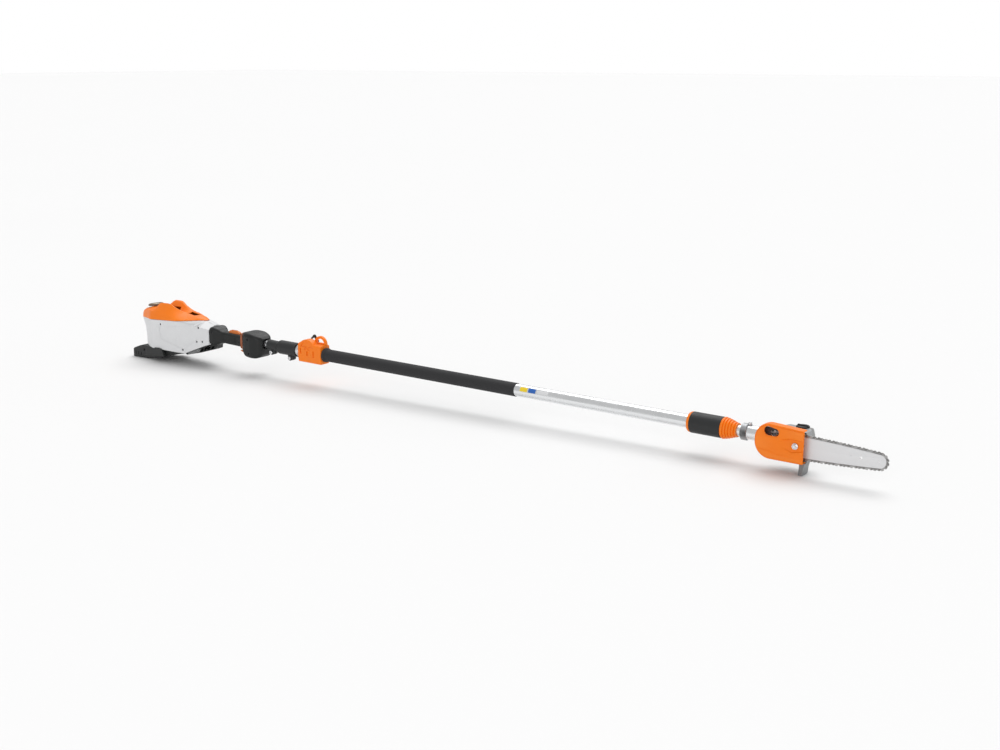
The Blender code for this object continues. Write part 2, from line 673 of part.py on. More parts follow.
def pole():
    tube("outer_tube", OUTER_FROM, OUTER_TO, OUTER_R, OUTER_R - OUTER_WALL, ALUMINIUM, steps=40)
    turned(
        "foam_sleeve",
        [
            (FOAM_R, FOAM_TO),
            (FOAM_R, FOAM_FROM + 2),
            (22.5, FOAM_FROM),
            (22.5, FOAM_FROM - 6),
            (OUTER_R + GAP, FOAM_FROM - 6),
            (OUTER_R + GAP, FOAM_TO),
        ],
        RUBBER,
        steps=40,
    )
    tube("drive_tube", DRIVE_TUBE_FROM, DRIVE_TUBE_TO, DRIVE_TUBE_R, DRIVE_TUBE_R - 1.7, ALUMINIUM)
    tube("inner_tube", INNER_FROM, INNER_TO, INNER_R, INNER_R - INNER_WALL, ALUMINIUM)
    tube("inner_tube_bush", INNER_FROM - 22, INNER_FROM - GAP, OUTER_R - OUTER_WALL - GAP, 8, BLACK)
    tube("outer_tube_bush", 1470, OUTER_TO - 1, OUTER_R - OUTER_WALL - GAP, INNER_R + GAP, BLACK)


def clamp():
    rows = [(18.5, CONE_TO)]
    groove_count, cone_from = 5, CLAMP_TO + 3
    length = CONE_TO - 4 - cone_from
    for i in range(groove_count, 0, -1):
        near, far = cone_from + length * (i - 1) / groove_count, cone_from + length * i / groove_count
        radius = 29 - 8.5 * (i / groove_count) ** 1.6
        rows += [(radius - 1.6, far - 1.6), (radius, far - 2.4), (radius + 0.8, near + 0.2)]
    bore_back = cone_from - 40
    turned(
        "clamp_cone",
        [
            *rows,
            (29, cone_from - 1.5),
            (23, cone_from - 1.5),
            (23, bore_back),
            (OUTER_R + GAP, bore_back),
            (OUTER_R + GAP, OUTER_TO + 1),
            (INNER_R + GAP, OUTER_TO + 1.5),
            (INNER_R + GAP, CONE_TO),
        ],
        ORANGE,
    )
    turned(
        "clamp_sleeve",
        [
            (CLAMP_R - 1, CLAMP_TO),
            (CLAMP_R, CLAMP_TO - 2),
            (CLAMP_R, CLAMP_FROM),
            (OUTER_R + 0.6, CLAMP_FROM),
            (OUTER_R + 0.6, bore_back - 1),
            (23.5, bore_back - 1),
            (23.5, CLAMP_TO),
        ],
        RUBBER,
    )
    turned(
        "clamp_ring",
        [
            (CLAMP_R - 0.5, CLAMP_FROM - GAP),
            (CLAMP_R - 0.5, CLAMP_FROM - 4),
            (CLAMP_R - 3, CLAMP_FROM - 8),
            (OUTER_R + 0.6, CLAMP_FROM - 8),
            (OUTER_R + 0.6, CLAMP_FROM - GAP),
        ],
        ORANGE,
    )


# ---------------------------------------------------------------- saw head


def head_outline(grow=0.0, front=COVER_TO):
    """The cover's side view: straight at the front, half round at the back."""
    top, bottom, rear = COVER_TOP + grow, COVER_BOTTOM - grow, COVER_FROM - grow
    radius_top, radius_bottom = 42.0 + grow, 42.0 + grow
    upper = arc((rear + radius_top, top - radius_top), radius_top, 90, 180, 7)
    lower = arc((rear + radius_bottom, bottom + radius_bottom), radius_bottom, 180, 270, 7)
    return [(front, top - 5), *upper, *lower, (front, bottom)]


def saw_cover():
    cover = plate("sprocket_cover", head_outline(), COVER_FACE, COVER_BACK, ORANGE)
    bevel(cover, 3, 2)
    inside = plate("cover_inside", head_outline(-2.6, COVER_TO + 10), COVER_FACE + 2.6, COVER_BACK + 10)
    window = plate("cover_window", [*arc((1643, 27), 11, 90, 270, 9), *arc((1662, 27), 11, 270, 450, 9)], -60, -30)
    stud_hole = rod("cover_stud_hole", "Y", -60, -30, STUD_R + 0.5, origin=(STUD_X, 0, -1))
    cut(cover, inside, window, stud_hole)
    nut = rod("cover_nut", "Y", -51.5, COVER_FACE - GAP, 7.2, STEEL, (STUD_X, 0, -1), steps=6)
    join(nut, rod("nut_flange", "Y", -47, COVER_FACE - GAP, 8.2, origin=(STUD_X, 0, -1), steps=24))
    cut(nut, rod("nut_bore", "Y", -60, -30, STUD_R + GAP, origin=(STUD_X, 0, -1)))


def gearbox():
    face, back = GEARBOX_Y
    body = plate("gearbox_housing", head_outline(-4, 1733), face, back, CASTING)
    cut(body, box("gearbox_top_room", (1590, -60, GEARBOX_TOP), (1760, 60, 80)))
    bevel(body, 3)
    neck = turned(
        "gearbox_neck",
        [
            (18.5, 1625), (18.5, 1570), (22, 1568), (22, 1554),
            (INNER_R + GAP, 1554), (INNER_R + GAP, INNER_TO + 2), (10, INNER_TO + 2), (10, 1625),
        ],
    )
    boss = rod("gearbox_boss", "Z", 15, 21.5, 6, origin=(1573, 0, 0))
    boss_bore = rod("boss_bore", "X", 1540, 1620, INNER_R + GAP)
    cut(boss, boss_bore)
    join(body, neck, boss)
    gear_room = rod("gear_room", "Y", -14, back + 10, 25, origin=(HEAD_X, 0, 0))
    pinion_room = rod("pinion_room", "X", INNER_TO, HEAD_X, 10.6)
    axle_bore = rod("axle_bore", "Y", -30, 0, 8.6, origin=(HEAD_X, 0, 0))
    stud_hole = rod("gearbox_stud_hole", "Y", -30, 0, STUD_R + GAP, origin=(STUD_X, 0, -1))
    screw_room = rod("tensioner_room", "X", 1696, 1745, 4.2, origin=(0, -12, -30))
    screw_hole = rod("boss_hole", "Z", 13, 30, 3.3, origin=(1573, 0, 0))
    cut(body, gear_room, pinion_room, axle_bore, stud_hole, screw_room, screw_hole)
    turned(
        "neck_screw",
        [(0, 25.4), (5, 25.4), (5, 21.8), (3, 21.8), (3, 14.6), (0, 14.6)],
        STEEL,
        (1573, 0, 0),
        closed=False,
        steps=SMALL_STEPS,
    ).rotation_euler = (0, 0, 0)
    turned(
        "bar_stud",
        [(0, -1), (STUD_R, -1), (STUD_R, -52.5), (0, -52.5)],
        STEEL,
        (STUD_X, 0, -1),
        closed=False,
        steps=SMALL_STEPS,
        axis="Y",
    )
    tank = plate("oil_tank", TANK_SIDE, back + GAP, TANK_Y, CASTING)
    bevel(tank, 3)
    oil_room = plate("oil_room", TANK_INSIDE, back + 3, TANK_Y - 3)
    filler = rod("tank_filler", "Z", TANK_TOP - 10, TANK_TOP + 20, 9.6, origin=(CAP_X, CAP_Y, 0))
    cut(tank, oil_room, filler)
    cap = turned(
        "oil_cap",
        [(0, 6.5), (14.5, 6.5), (17, 4.5), (17, 0.4), (9.2, 0.4), (9.2, -8), (0, -8)],
        BLACK,
        (CAP_X, CAP_Y, TANK_TOP),
        closed=False,
    )
    cap.rotation_euler = (0, 0, 0)
    join(cap, box("cap_grip", (-14, -3, 4), (14, 3, 10), origin=(CAP_X, CAP_Y, TANK_TOP)))


TANK_SIDE = [
    (1733, 14), (1728, TANK_TOP), (1666, TANK_TOP), (1648, 24), (1632, 8), (1626, -10), (1636, -34), (1650, -42),
    (1733, -42),
]
TANK_INSIDE = [(1729, 12), (1725, 26.5), (1667, 26.5), (1650, 21), (1636, 6), (1636, -28), (1652, -38), (1729, -38)]


def head_drive():
    rod("hex_drive_rod", "X", HEX_ROD_FROM, HEX_ROD_TO, HEX_ROD_CORNER, STEEL, steps=6)
    pinion = rod("bevel_pinion", "X", 1612, 1633, 9.6, STEEL, end_radius=6.6, steps=24)
    cut(pinion, rod("pinion_bore", "X", 1600, 1640, HEX_ROD_CORNER + GAP))
    for i in range(8):
        gap = box(f"pinion_gap_{i}", (1618, -1, 6.3), (1636, 1, 12))
        gap.rotation_euler = (i * math.tau / 8, 0, 0)
        cut(pinion, gap)
    gear = turned(
        "bevel_gear",
        [
            (0, 13), (14, 13), (17, 9), (21, 4.6), (17.5, 2.6), (7.9, 2.6), (7.9, -20),
            (6, -20.3), (6, -34), (0, -34),
        ],
        STEEL,
        (HEAD_X, 0, 0),
        closed=False,
        axis="Y",
    )
    for i in range(12):
        gap = box(f"gear_gap_{i}", (16.5, -2, -1.3), (24, 14, 1.3), origin=(HEAD_X, 0, 0))
        gap.rotation_euler = (0, i * math.tau / 12, 0)
        cut(gear, gap)
    teeth = 7
    tooth = math.tau / teeth
    outline = []
    for i in range(teeth):
        for share, radius in ((0.0, 12.5), (0.32, 12.5), (0.42, SPROCKET_R), (0.58, SPROCKET_R), (0.68, 12.5)):
            angle = tooth * (i + share)
            outline.append((radius * math.cos(angle), radius * math.sin(angle)))
    sprocket = plate("drive_sprocket", outline, -29.5, -21.5, STEEL, (HEAD_X, 0, 0))
    cut(sprocket, rod("sprocket_bore", "Y", -40, -10, 6 + GAP, origin=(HEAD_X, 0, 0)))


def bar_outline(grow, tail_x):
    """The guide bar seen from the side: bowed rails that run into a round nose."""
    nose_x = BAR_TIP - NOSE_R
    upper = []
    rail_points = 7
    for i in range(rail_points):
        share = i / rail_points
        height = BAR_HALF_HEIGHT - (BAR_HALF_HEIGHT - NOSE_R) * share**1.8
        upper.append((tail_x + (nose_x - tail_x) * share, BAR_Z + height + grow))
    lower = [(x, 2 * BAR_Z - z) for x, z in reversed(upper)]
    nose = arc((nose_x, BAR_Z), NOSE_R + grow, 84, -84, 13)
    return [*upper, *nose, *lower]


def guide_bar():
    low, high = BAR_Y - BAR_THICKNESS / 2, BAR_Y + BAR_THICKNESS / 2
    outline = bar_outline(0, BAR_TAIL + 12)[1:-1]
    # The tail tapers, so that it stays inside the chain when the bar is slid back.
    tail = [(BAR_TAIL + 20, BAR_Z + 26.9), (BAR_TAIL, BAR_Z + 17)]
    outline = [*reversed(tail), *outline, *((x, 2 * BAR_Z - z) for x, z in tail)]
    bar = plate("guide_bar", outline, low, high, STEEL)
    slot = plate(
        "bar_slot",
        [*arc((STUD_X, -1), STUD_R + 0.6, 90, 270, 7), *arc((STUD_X + 12, -1), STUD_R + 0.6, -90, 90, 7)],
        low - 5,
        high + 5,
    )
    oil_hole = rod("bar_hole", "Y", low - 5, high + 5, 3, origin=(1876, 0, BAR_Z + 1), steps=16)
    nose_slot = rod("nose_slot", "Y", BAR_Y - 0.9, BAR_Y + 0.9, NOSE_R + 6, origin=(BAR_TIP - NOSE_R, 0, BAR_Z))
    axle = rod("nose_axle", "Y", low + 0.5, high - 0.5, 3.5, origin=(BAR_TIP - NOSE_R, 0, BAR_Z))
    cut(bar, slot, oil_hole, nose_slot)
    join(bar, axle)
    teeth = 9
    outline = []
    for i in range(teeth):
        for share, radius in ((0.0, 12.5), (0.4, NOSE_R - 1), (0.6, NOSE_R - 1)):
            angle = math.tau / teeth * (i + share)
            outline.append((radius * math.cos(angle), radius * math.sin(angle)))
    nose = plate("nose_sprocket", outline, BAR_Y - 0.55, BAR_Y + 0.55, STEEL, (BAR_TIP - NOSE_R, 0, BAR_Z))
    cut(nose, rod("nose_bore", "Y", -40, -10, 4, origin=(BAR_TIP - NOSE_R, 0, BAR_Z)))


def saw_chain():
    """The chain as one toothed loop round the bar and the drive sprocket."""
    rail = bar_outline(GAP, BAR_TAIL + 12)
    wrap = arc((HEAD_X, 0), SPROCKET_R + 1.6, 262, 98, 11)
    inner = [*rail, *wrap]
    path = [Vector((x, 0, z)) for x, z in inner]
    lengths = [(path[i] - path[i - 1]).length for i in range(len(path))]
    total = sum(lengths)
    links = round(total / CHAIN_PITCH_PAIR)
    outer = []
    for i in range(links):
        for share, height in ((0.06, 4.2), (0.16, CHAIN_DEPTH), (0.44, CHAIN_DEPTH - 0.8), (0.56, 4.2)):
            outer.append(point_beside(path, total * (i + share) / links, height))
    chain = plate("saw_chain", outer, BAR_Y - 2.4, BAR_Y + 2.4, STEEL)
    cut(chain, plate("chain_room", inner, BAR_Y - 20, BAR_Y + 20))


def point_beside(path, distance, height):
    """The point that lies this height outside a closed path, this far along it."""
    for i in range(len(path)):
        start, end = path[i - 1], path[i]
        step = end - start
        if distance > step.length:
            distance -= step.length
            continue
        along = step.normalized()
        before = (start - path[i - 2]).normalized()
        after = (path[(i + 1) % len(path)] - end).normalized()
        share = distance / step.length
        tangent = (before + along).normalized().lerp((along + after).normalized(), share)
        outward = Vector((-tangent.z, 0, tangent.x)).normalized()
        point = start + along * distance + outward * height
        return point.x, point.z
    return path[0].x, path[0].z


def tensioner():
    turned(
        "tensioner_screw",
        [(0, 34), (3.8, 34), (3.8, 30), (2.5, 30), (2.5, 0), (0, 0)],
        STEEL,
        (1700, -12, -30),
        closed=False,
        steps=SMALL_STEPS,
    )


def branch_hook():
    hook = plate(
        "branch_hook",
        [(1722, -42.3), (1722, -60), (1720, -78.8), (1731, -78.95), (1733, -60), (1738.5, -42.3)],
        -30,
        6,
        CASTING,
    )
    cut(hook, box("hook_cover_room", (1700, -60, COVER_BOTTOM - GAP), (1760, GEARBOX_Y[0], -30)))


battery_housing()
top_cover()
battery()
control_panel()
intake()
rear_foot()
motor()
handle()
controls()
hand_guard()
coupling()
strap_bracket()
pole()
clamp()
saw_cover()
gearbox()
head_drive()
guide_bar()
saw_chain()
tensioner()
branch_hook()
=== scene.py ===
"""Looks of the telescoping battery pole saw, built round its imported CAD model.

New pieces are drawn in the pole frame, in millimetres: X forward along the pole's axis, Z up
and -Y the side with the sprocket cover. PLACE turns them into the model's own frame.
"""

import math

import bmesh
import bpy
import numpy as np
from mathutils import Matrix, Vector


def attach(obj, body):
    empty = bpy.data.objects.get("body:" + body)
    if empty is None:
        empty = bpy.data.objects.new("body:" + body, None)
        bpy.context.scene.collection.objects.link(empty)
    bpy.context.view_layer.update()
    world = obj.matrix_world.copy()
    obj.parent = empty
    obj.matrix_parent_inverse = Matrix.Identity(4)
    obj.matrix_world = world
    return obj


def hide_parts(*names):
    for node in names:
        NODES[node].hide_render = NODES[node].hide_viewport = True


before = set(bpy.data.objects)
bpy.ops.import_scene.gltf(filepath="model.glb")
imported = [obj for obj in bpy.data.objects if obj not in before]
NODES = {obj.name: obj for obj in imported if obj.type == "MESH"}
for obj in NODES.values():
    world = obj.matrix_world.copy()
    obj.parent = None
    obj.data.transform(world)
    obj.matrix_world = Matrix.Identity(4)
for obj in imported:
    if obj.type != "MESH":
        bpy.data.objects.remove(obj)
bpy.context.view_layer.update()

NOSE_DOWN = math.radians(0.8)
POLE_ORIGIN = (-0.61165, 0.0, 0.10325)
PLACE = Matrix.Translation(POLE_ORIGIN) @ Matrix.Rotation(NOSE_DOWN, 4, "Y") @ Matrix.Scale(0.001, 4)
TO_POLE = PLACE.inverted()


# ---- materials


def node(tree, kind, **values):
    made = tree.nodes.new(kind)
    for key, value in values.items():
        if key in made.inputs:
            made.inputs[key].default_value = value
        else:
            setattr(made, key, value)
    return made


def mix_colour(tree, factor, one, two):
    """A colour mix. factor is a socket, one and two are colours or sockets."""
    mixed = tree.nodes.new("ShaderNodeMix")
    mixed.data_type = "RGBA"
    tree.links.new(factor, mixed.inputs[0])
    for socket, value in ((mixed.inputs[6], one), (mixed.inputs[7], two)):
        if isinstance(value, tuple):
            socket.default_value = (*value, 1)
        else:
            tree.links.new(value, socket)
    return mixed.outputs[2]


def ranged(tree, socket, low, high, to_low, to_high):
    made = tree.nodes.new("ShaderNodeMapRange")
    made.inputs["From Min"].default_value = low
    made.inputs["From Max"].default_value = high
    made.inputs["To Min"].default_value = to_low
    made.inputs["To Max"].default_value = to_high
    tree.links.new(socket, made.inputs["Value"])
    return made.outputs["Result"]


def surface(
    name,
    colour,
    roughness,
    metallic=0.0,
    vary=0.07,
    patch=25.0,
    grain=900.0,
    depth=0.04,
    stretch=(1, 1, 1),
    wear=0.0,
    spread=0.08,
    coat=0.0,
    gleam=0.5,
    pattern=None,
):
    """A moulded, cast or drawn finish: soft patches of colour and gloss, a fine grain as bump,
    and paler edges where wear is over 0. pattern adds its own colour and height."""
    made = bpy.data.materials.new(name)
    made.use_nodes = True
    tree = made.node_tree
    shader = tree.nodes["Principled BSDF"]
    shader.inputs["Metallic"].default_value = metallic
    shader.inputs["Coat Weight"].default_value = coat
    shader.inputs["Specular IOR Level"].default_value = gleam
    shader.inputs["Coat Roughness"].default_value = 0.15
    place = node(tree, "ShaderNodeTexCoord")
    scaled = node(tree, "ShaderNodeMapping")
    scaled.inputs["Scale"].default_value = stretch
    tree.links.new(place.outputs["Object"], scaled.inputs["Vector"])
    patches = node(tree, "ShaderNodeTexNoise", Scale=patch, Detail=3.0)
    fine = node(tree, "ShaderNodeTexNoise", Scale=grain, Detail=2.0)
    tree.links.new(place.outputs["Object"], patches.inputs["Vector"])
    tree.links.new(scaled.outputs["Vector"], fine.inputs["Vector"])
    dark = tuple(c * (1 - vary) for c in colour)
    light = tuple(min(1.0, c * (1 + vary)) for c in colour)
    shade = mix_colour(tree, patches.outputs["Fac"], dark, light)
    height = fine.outputs["Fac"]
    if pattern:
        shade, height = pattern(tree, place.outputs["Object"], shade, height)
    if wear:
        geometry = node(tree, "ShaderNodeNewGeometry")
        edge = ranged(tree, geometry.outputs["Pointiness"], 0.53, 0.62, 0.0, wear)
        pale = tuple(min(1.0, c * 1.35 + 0.06) for c in colour)
        shade = mix_colour(tree, edge, shade, pale)
    tree.links.new(shade, shader.inputs["Base Color"])
    smoothest = max(0.03, roughness - spread)
    gloss = ranged(tree, patches.outputs["Fac"], 0.3, 0.7, smoothest, roughness + spread)
    tree.links.new(gloss, shader.inputs["Roughness"])
    bump = node(tree, "ShaderNodeBump", Strength=0.5, Distance=depth / 1000)
    tree.links.new(height, bump.inputs["Height"])
    tree.links.new(bump.outputs["Normal"], shader.inputs["Normal"])
    return made


def bands(angle_deg, scale, dark_by):
    """A pattern of fine straight ribs, turned by angle_deg about the Y axis."""

    def pattern(tree, place, shade, height):
        turned_place = node(tree, "ShaderNodeMapping")
        turned_place.inputs["Rotation"].default_value = (0, math.radians(angle_deg), 0)
        tree.links.new(place, turned_place.inputs["Vector"])
        wave = node(tree, "ShaderNodeTexWave", Scale=scale, Distortion=0.6, Detail=1.0)
        wave.inputs["Detail Scale"].default_value = 2.0
        tree.links.new(turned_place.outputs["Vector"], wave.inputs["Vector"])
        factor = ranged(tree, wave.outputs["Fac"], 0.0, 1.0, 0.0, dark_by)
        shaded = mix_colour(tree, factor, shade, (0.0, 0.0, 0.0))
        total = node(tree, "ShaderNodeMath", operation="ADD")
        tree.links.new(wave.outputs["Fac"], total.inputs[0])
        tree.links.new(height, total.inputs[1])
        return shaded, total.outputs[0]

    return pattern


def weave(scale, colour):
    """A pattern of small square openings, as in a filter mesh."""

    def pattern(tree, place, shade, height):
        waves = []
        for direction in ("X", "Z"):
            wave = node(tree, "ShaderNodeTexWave", Scale=scale)
            wave.bands_direction = direction
            tree.links.new(place, wave.inputs["Vector"])
            waves.append(wave.outputs["Fac"])
        crossed = node(tree, "ShaderNodeMath", operation="MULTIPLY")
        tree.links.new(waves[0], crossed.inputs[0])
        tree.links.new(waves[1], crossed.inputs[1])
        factor = ranged(tree, crossed.outputs[0], 0.15, 0.45, 0.0, 1.0)
        return mix_colour(tree, factor, shade, colour), crossed.outputs[0]

    return pattern


def wiped(scale):
    """Dark stains, as of oil and wood dust."""

    def pattern(tree, place, shade, height):
        blotch_noise = node(tree, "ShaderNodeTexNoise", Scale=scale, Detail=6.0, Roughness=0.7)
        tree.links.new(place, blotch_noise.inputs["Vector"])
        factor = ranged(tree, blotch_noise.outputs["Fac"], 0.5, 0.75, 0.0, 0.6)
        return mix_colour(tree, factor, shade, (0.03, 0.025, 0.02)), height

    return pattern


def painted_cover_shade(tree, place, shade, height):
    """Painted shade inside the sprocket cover: the casting's side where the sprocket runs, darkened nearly to
    black in soft blotches.
    """
    parts = node(tree, "ShaderNodeSeparateXYZ")
    tree.links.new(place, parts.inputs[0])
    side = ranged(tree, parts.outputs["Y"], -0.0215, -0.0185, 0.9, 0.0)
    blotch_noise = node(tree, "ShaderNodeTexNoise", Scale=90.0, Detail=5.0)
    tree.links.new(place, blotch_noise.inputs["Vector"])
    share = node(tree, "ShaderNodeMath", operation="MULTIPLY")
    tree.links.new(side, share.inputs[0])
    tree.links.new(ranged(tree, blotch_noise.outputs["Fac"], 0.3, 0.6, 0.75, 1.0), share.inputs[1])
    return mix_colour(tree, share.outputs[0], shade, (0.012, 0.01, 0.008)), height


ORANGE = surface("visual_orange", (0.93, 0.205, 0.004), 0.4, vary=0.05, wear=0.2, depth=0.03, gleam=0.3)
ORANGE_DARK = surface("visual_orange_controls", (0.62, 0.17, 0.035), 0.42, depth=0.05, gleam=0.3)
RUST = surface("visual_trim_brown", (0.30, 0.085, 0.03), 0.45, depth=0.05, gleam=0.3)
WHITE = surface("visual_white", (0.70, 0.705, 0.715), 0.42, vary=0.03, depth=0.03, gleam=0.35)
BLACK = surface(
    "visual_black", (0.0125, 0.0135, 0.0135), 0.42, vary=0.2, grain=1400, depth=0.09, wear=0.2, gleam=0.3
)
RUBBER = surface(
    "visual_foam", (0.036, 0.036, 0.038), 0.72, vary=0.15, grain=1600, depth=0.12, gleam=0.3,
    pattern=bands(38, 190, 0.4),
)
SLEEVE = surface("visual_sleeve", (0.021, 0.022, 0.023), 0.48, vary=0.15, grain=1500, depth=0.1, gleam=0.35)
ALUMINIUM = surface(
    "visual_aluminium", (0.80, 0.81, 0.82), 0.27, metallic=1.0, vary=0.04, grain=300,
    stretch=(0.05, 6, 6), depth=0.01,
)
# The casting's pattern paints shade, nearly black, on its side inside the sprocket cover.
CASTING = surface(
    "visual_casting", (0.34, 0.35, 0.36), 0.45, metallic=0.6, vary=0.1, grain=700, depth=0.12, wear=0.4,
    pattern=painted_cover_shade,
)
HOOK_GREY = surface(
    "visual_hook", (0.25, 0.255, 0.26), 0.45, metallic=0.5, vary=0.12, grain=700, depth=0.12, wear=0.4,
)
TANK_GREY = surface("visual_tank", (0.34, 0.345, 0.34), 0.42, vary=0.06, grain=800, depth=0.08, wear=0.2)
BAR_STEEL = surface(
    "visual_bar_steel", (0.72, 0.72, 0.73), 0.4, metallic=0.55, vary=0.04, grain=260,
    stretch=(0.15, 4, 9), depth=0.03, wear=0.3,
)
CHAIN_STEEL = surface(
    "visual_chain_steel", (0.20, 0.195, 0.19), 0.38, metallic=0.8, vary=0.2, grain=900, depth=0.05,
    pattern=wiped(160), wear=0.6,
)
CUTTER_STEEL = surface(
    "visual_cutter_steel", (0.34, 0.335, 0.33), 0.36, metallic=0.85, vary=0.2, grain=900, depth=0.05,
    wear=0.5, pattern=wiped(220),
)
BRIGHT_STEEL = surface(
    "visual_bright_steel", (0.74, 0.74, 0.75), 0.22, metallic=1.0, vary=0.05, grain=600, depth=0.02,
)
DARK_STEEL = surface(
    "visual_dark_steel", (0.05, 0.05, 0.055), 0.4, metallic=0.6, vary=0.1, grain=800, depth=0.03,
)
FILTER = surface(
    "visual_filter", (0.06, 0.06, 0.06), 0.6, depth=0.3, gleam=0.3, pattern=weave(260, (0.42, 0.43, 0.43))
)
COPPER = surface(
    "visual_copper", (0.62, 0.27, 0.10), 0.35, metallic=1.0, pattern=bands(90, 500, 0.5), depth=0.2,
)
BOARD = surface("visual_board", (0.02, 0.16, 0.07), 0.4, vary=0.3, patch=120)
TAUPE = surface("visual_taupe", (0.15, 0.095, 0.055), 0.4, vary=0.1, depth=0.05, wear=0.5)
CREAM = surface("visual_cream", (0.78, 0.64, 0.44), 0.4, vary=0.05, depth=0.05)
YELLOW = surface("visual_mark_yellow", (0.85, 0.62, 0.02), 0.4, depth=0.01)
BLUE = surface("visual_mark_blue", (0.02, 0.12, 0.45), 0.4, depth=0.01)
LAMP = surface("visual_lamp_green", (0.05, 0.55, 0.12), 0.3, depth=0.01)


# ---- shapes


def link(name, mesh):
    made = bpy.data.objects.new(name, mesh)
    bpy.context.scene.collection.objects.link(made)
    return made


def from_bmesh(name, bm):
    bmesh.ops.recalc_face_normals(bm, faces=bm.faces)
    mesh = bpy.data.meshes.new(name)
    bm.to_mesh(mesh)
    bm.free()
    return link(name, mesh)


def settle(thing):
    """Puts the modifiers of a new piece into its mesh."""
    graph = bpy.context.evaluated_depsgraph_get()
    graph.update()
    mesh = bpy.data.meshes.new_from_object(thing.evaluated_get(graph))
    old = thing.data
    thing.modifiers.clear()
    thing.data = mesh
    bpy.data.meshes.remove(old)
    return thing


def boolean(thing, operation, others):
    for other in others:
        step = thing.modifiers.new("step", "BOOLEAN")
        step.operation = operation
        step.object = other
        step.solver = "EXACT"
    settle(thing)
    for other in others:
        bpy.data.objects.remove(other)
    return thing


def cut(thing, *others):
    return boolean(thing, "DIFFERENCE", others)


def join(thing, *others):
    return boolean(thing, "UNION", others)


def round_edges(thing, width, segments=3, angle=28.0):
    rounding = thing.modifiers.new("round", "BEVEL")
    rounding.width = width
    rounding.segments = segments
    rounding.limit_method = "ANGLE"
    rounding.angle_limit = math.radians(angle)
    rounding.miter_outer = "MITER_ARC"
    rounding.use_clamp_overlap = True
    return settle(thing)


def block(name, low, high, origin=(0, 0, 0), turn=None):
    bm = bmesh.new()
    low, high = Vector(low), Vector(high)
    place = Matrix.Translation((low + high) / 2) @ Matrix.Diagonal((*(high - low), 1))
    bmesh.ops.create_cube(bm, size=1, matrix=place)
    bm.transform(Matrix.Translation(origin) @ (turn or Matrix.Identity(4)))
    return from_bmesh(name, bm)


def arc(centre, radius, start_deg, end_deg, count):
    cx, cz = centre
    angles = np.radians(np.linspace(start_deg, end_deg, count))
    return [(cx + radius * math.cos(a), cz + radius * math.sin(a)) for a in angles]


def prism(name, points, low, high, plane="XZ", origin=(0, 0, 0)):
    """A flat outline, thick from low to high across it."""
    bm = bmesh.new()
    rings = []
    for across in (low, high):
        if plane == "XZ":
            rings.append([bm.verts.new((a, across, b)) for a, b in points])
        else:
            rings.append([bm.verts.new((a, b, across)) for a, b in points])
    bm.faces.new(rings[0])
    bm.faces.new(reversed(rings[1]))
    for i in range(len(points)):
        j = (i + 1) % len(points)
        bm.faces.new((rings[0][i], rings[0][j], rings[1][j], rings[1][i]))
    bm.transform(Matrix.Translation(origin))
    return from_bmesh(name, bm)


def skin(name, rings, closed=True):
    """A skin through rings of points, closed at both ends."""
    bm = bmesh.new()
    made = [[bm.verts.new(p) for p in ring] for ring in rings]
    for one, two in zip(made, made[1:]):
        for i in range(len(one)):
            j = (i + 1) % len(one)
            bm.faces.new((one[i], one[j], two[j], two[i]))
    if closed:
        bm.faces.new(made[0])
        bm.faces.new(reversed(made[-1]))
    return from_bmesh(name, bm)


AXES = {
    "X": ((0, 1, 0), (0, 0, 1), (1, 0, 0)),
    "Y": ((1, 0, 0), (0, 0, 1), (0, 1, 0)),
    "Z": ((1, 0, 0), (0, 1, 0), (0, 0, 1)),
}


def lathe(name, profile, axis="X", origin=(0, 0, 0), steps=96, turn=None):
    """A turned piece. The profile is (radius, place on the axis) all the way round; a point on
    the axis closes an end."""
    across, up, along = (Vector(v) for v in AXES[axis])
    bm = bmesh.new()
    rings = []
    for radius, place in profile:
        if radius < 1e-6:
            rings.append([bm.verts.new(along * place)])
            continue
        ring = []
        for i in range(steps):
            angle = math.tau * i / steps
            outward = across * math.cos(angle) + up * math.sin(angle)
            ring.append(bm.verts.new(along * place + radius * outward))
        rings.append(ring)
    open_ends = len(rings[0]) == 1
    pairs = list(zip(rings, rings[1:]))
    if not open_ends:
        pairs.append((rings[-1], rings[0]))
    for one, two in pairs:
        for i in range(steps):
            j = (i + 1) % steps
            corners = [one[i % len(one)], one[j % len(one)], two[j % len(two)], two[i % len(two)]]
            corners = list(dict.fromkeys(corners))
            if len(corners) > 2:
                bm.faces.new(corners)
    if turn:
        bm.transform(turn)
    bm.transform(Matrix.Translation(origin))
    return from_bmesh(name, bm)


def tube(name, start, end, outer, inner, edge=0.4, steps=96):
    profile = [
        (outer - edge, start), (outer, start + edge), (outer, end - edge), (outer - edge, end),
        (inner, end), (inner, start),
    ]
    return lathe(name, profile, steps=steps)


def rod(name, axis, start, end, radius, origin=(0, 0, 0), steps=48, edge=0.0):
    profile = [(0, start), (radius - edge, start), (radius, start + edge)]
    profile += [(radius, end - edge), (radius - edge, end), (0, end)]
    if not edge:
        profile = [(0, start), (radius, start), (radius, end), (0, end)]
    return lathe(name, profile, axis, origin, steps)


def copy_of(node_name, name):
    """A CAD node's own shape as a new mesh, in the pole frame, without its triangulation."""
    bm = bmesh.new()
    bm.from_mesh(NODES[node_name].data)
    bm.transform(TO_POLE)
    bmesh.ops.remove_doubles(bm, verts=bm.verts, dist=0.002)
    bmesh.ops.dissolve_limit(bm, angle_limit=math.radians(0.6), verts=bm.verts, edges=bm.edges)
    return from_bmesh(name, bm)


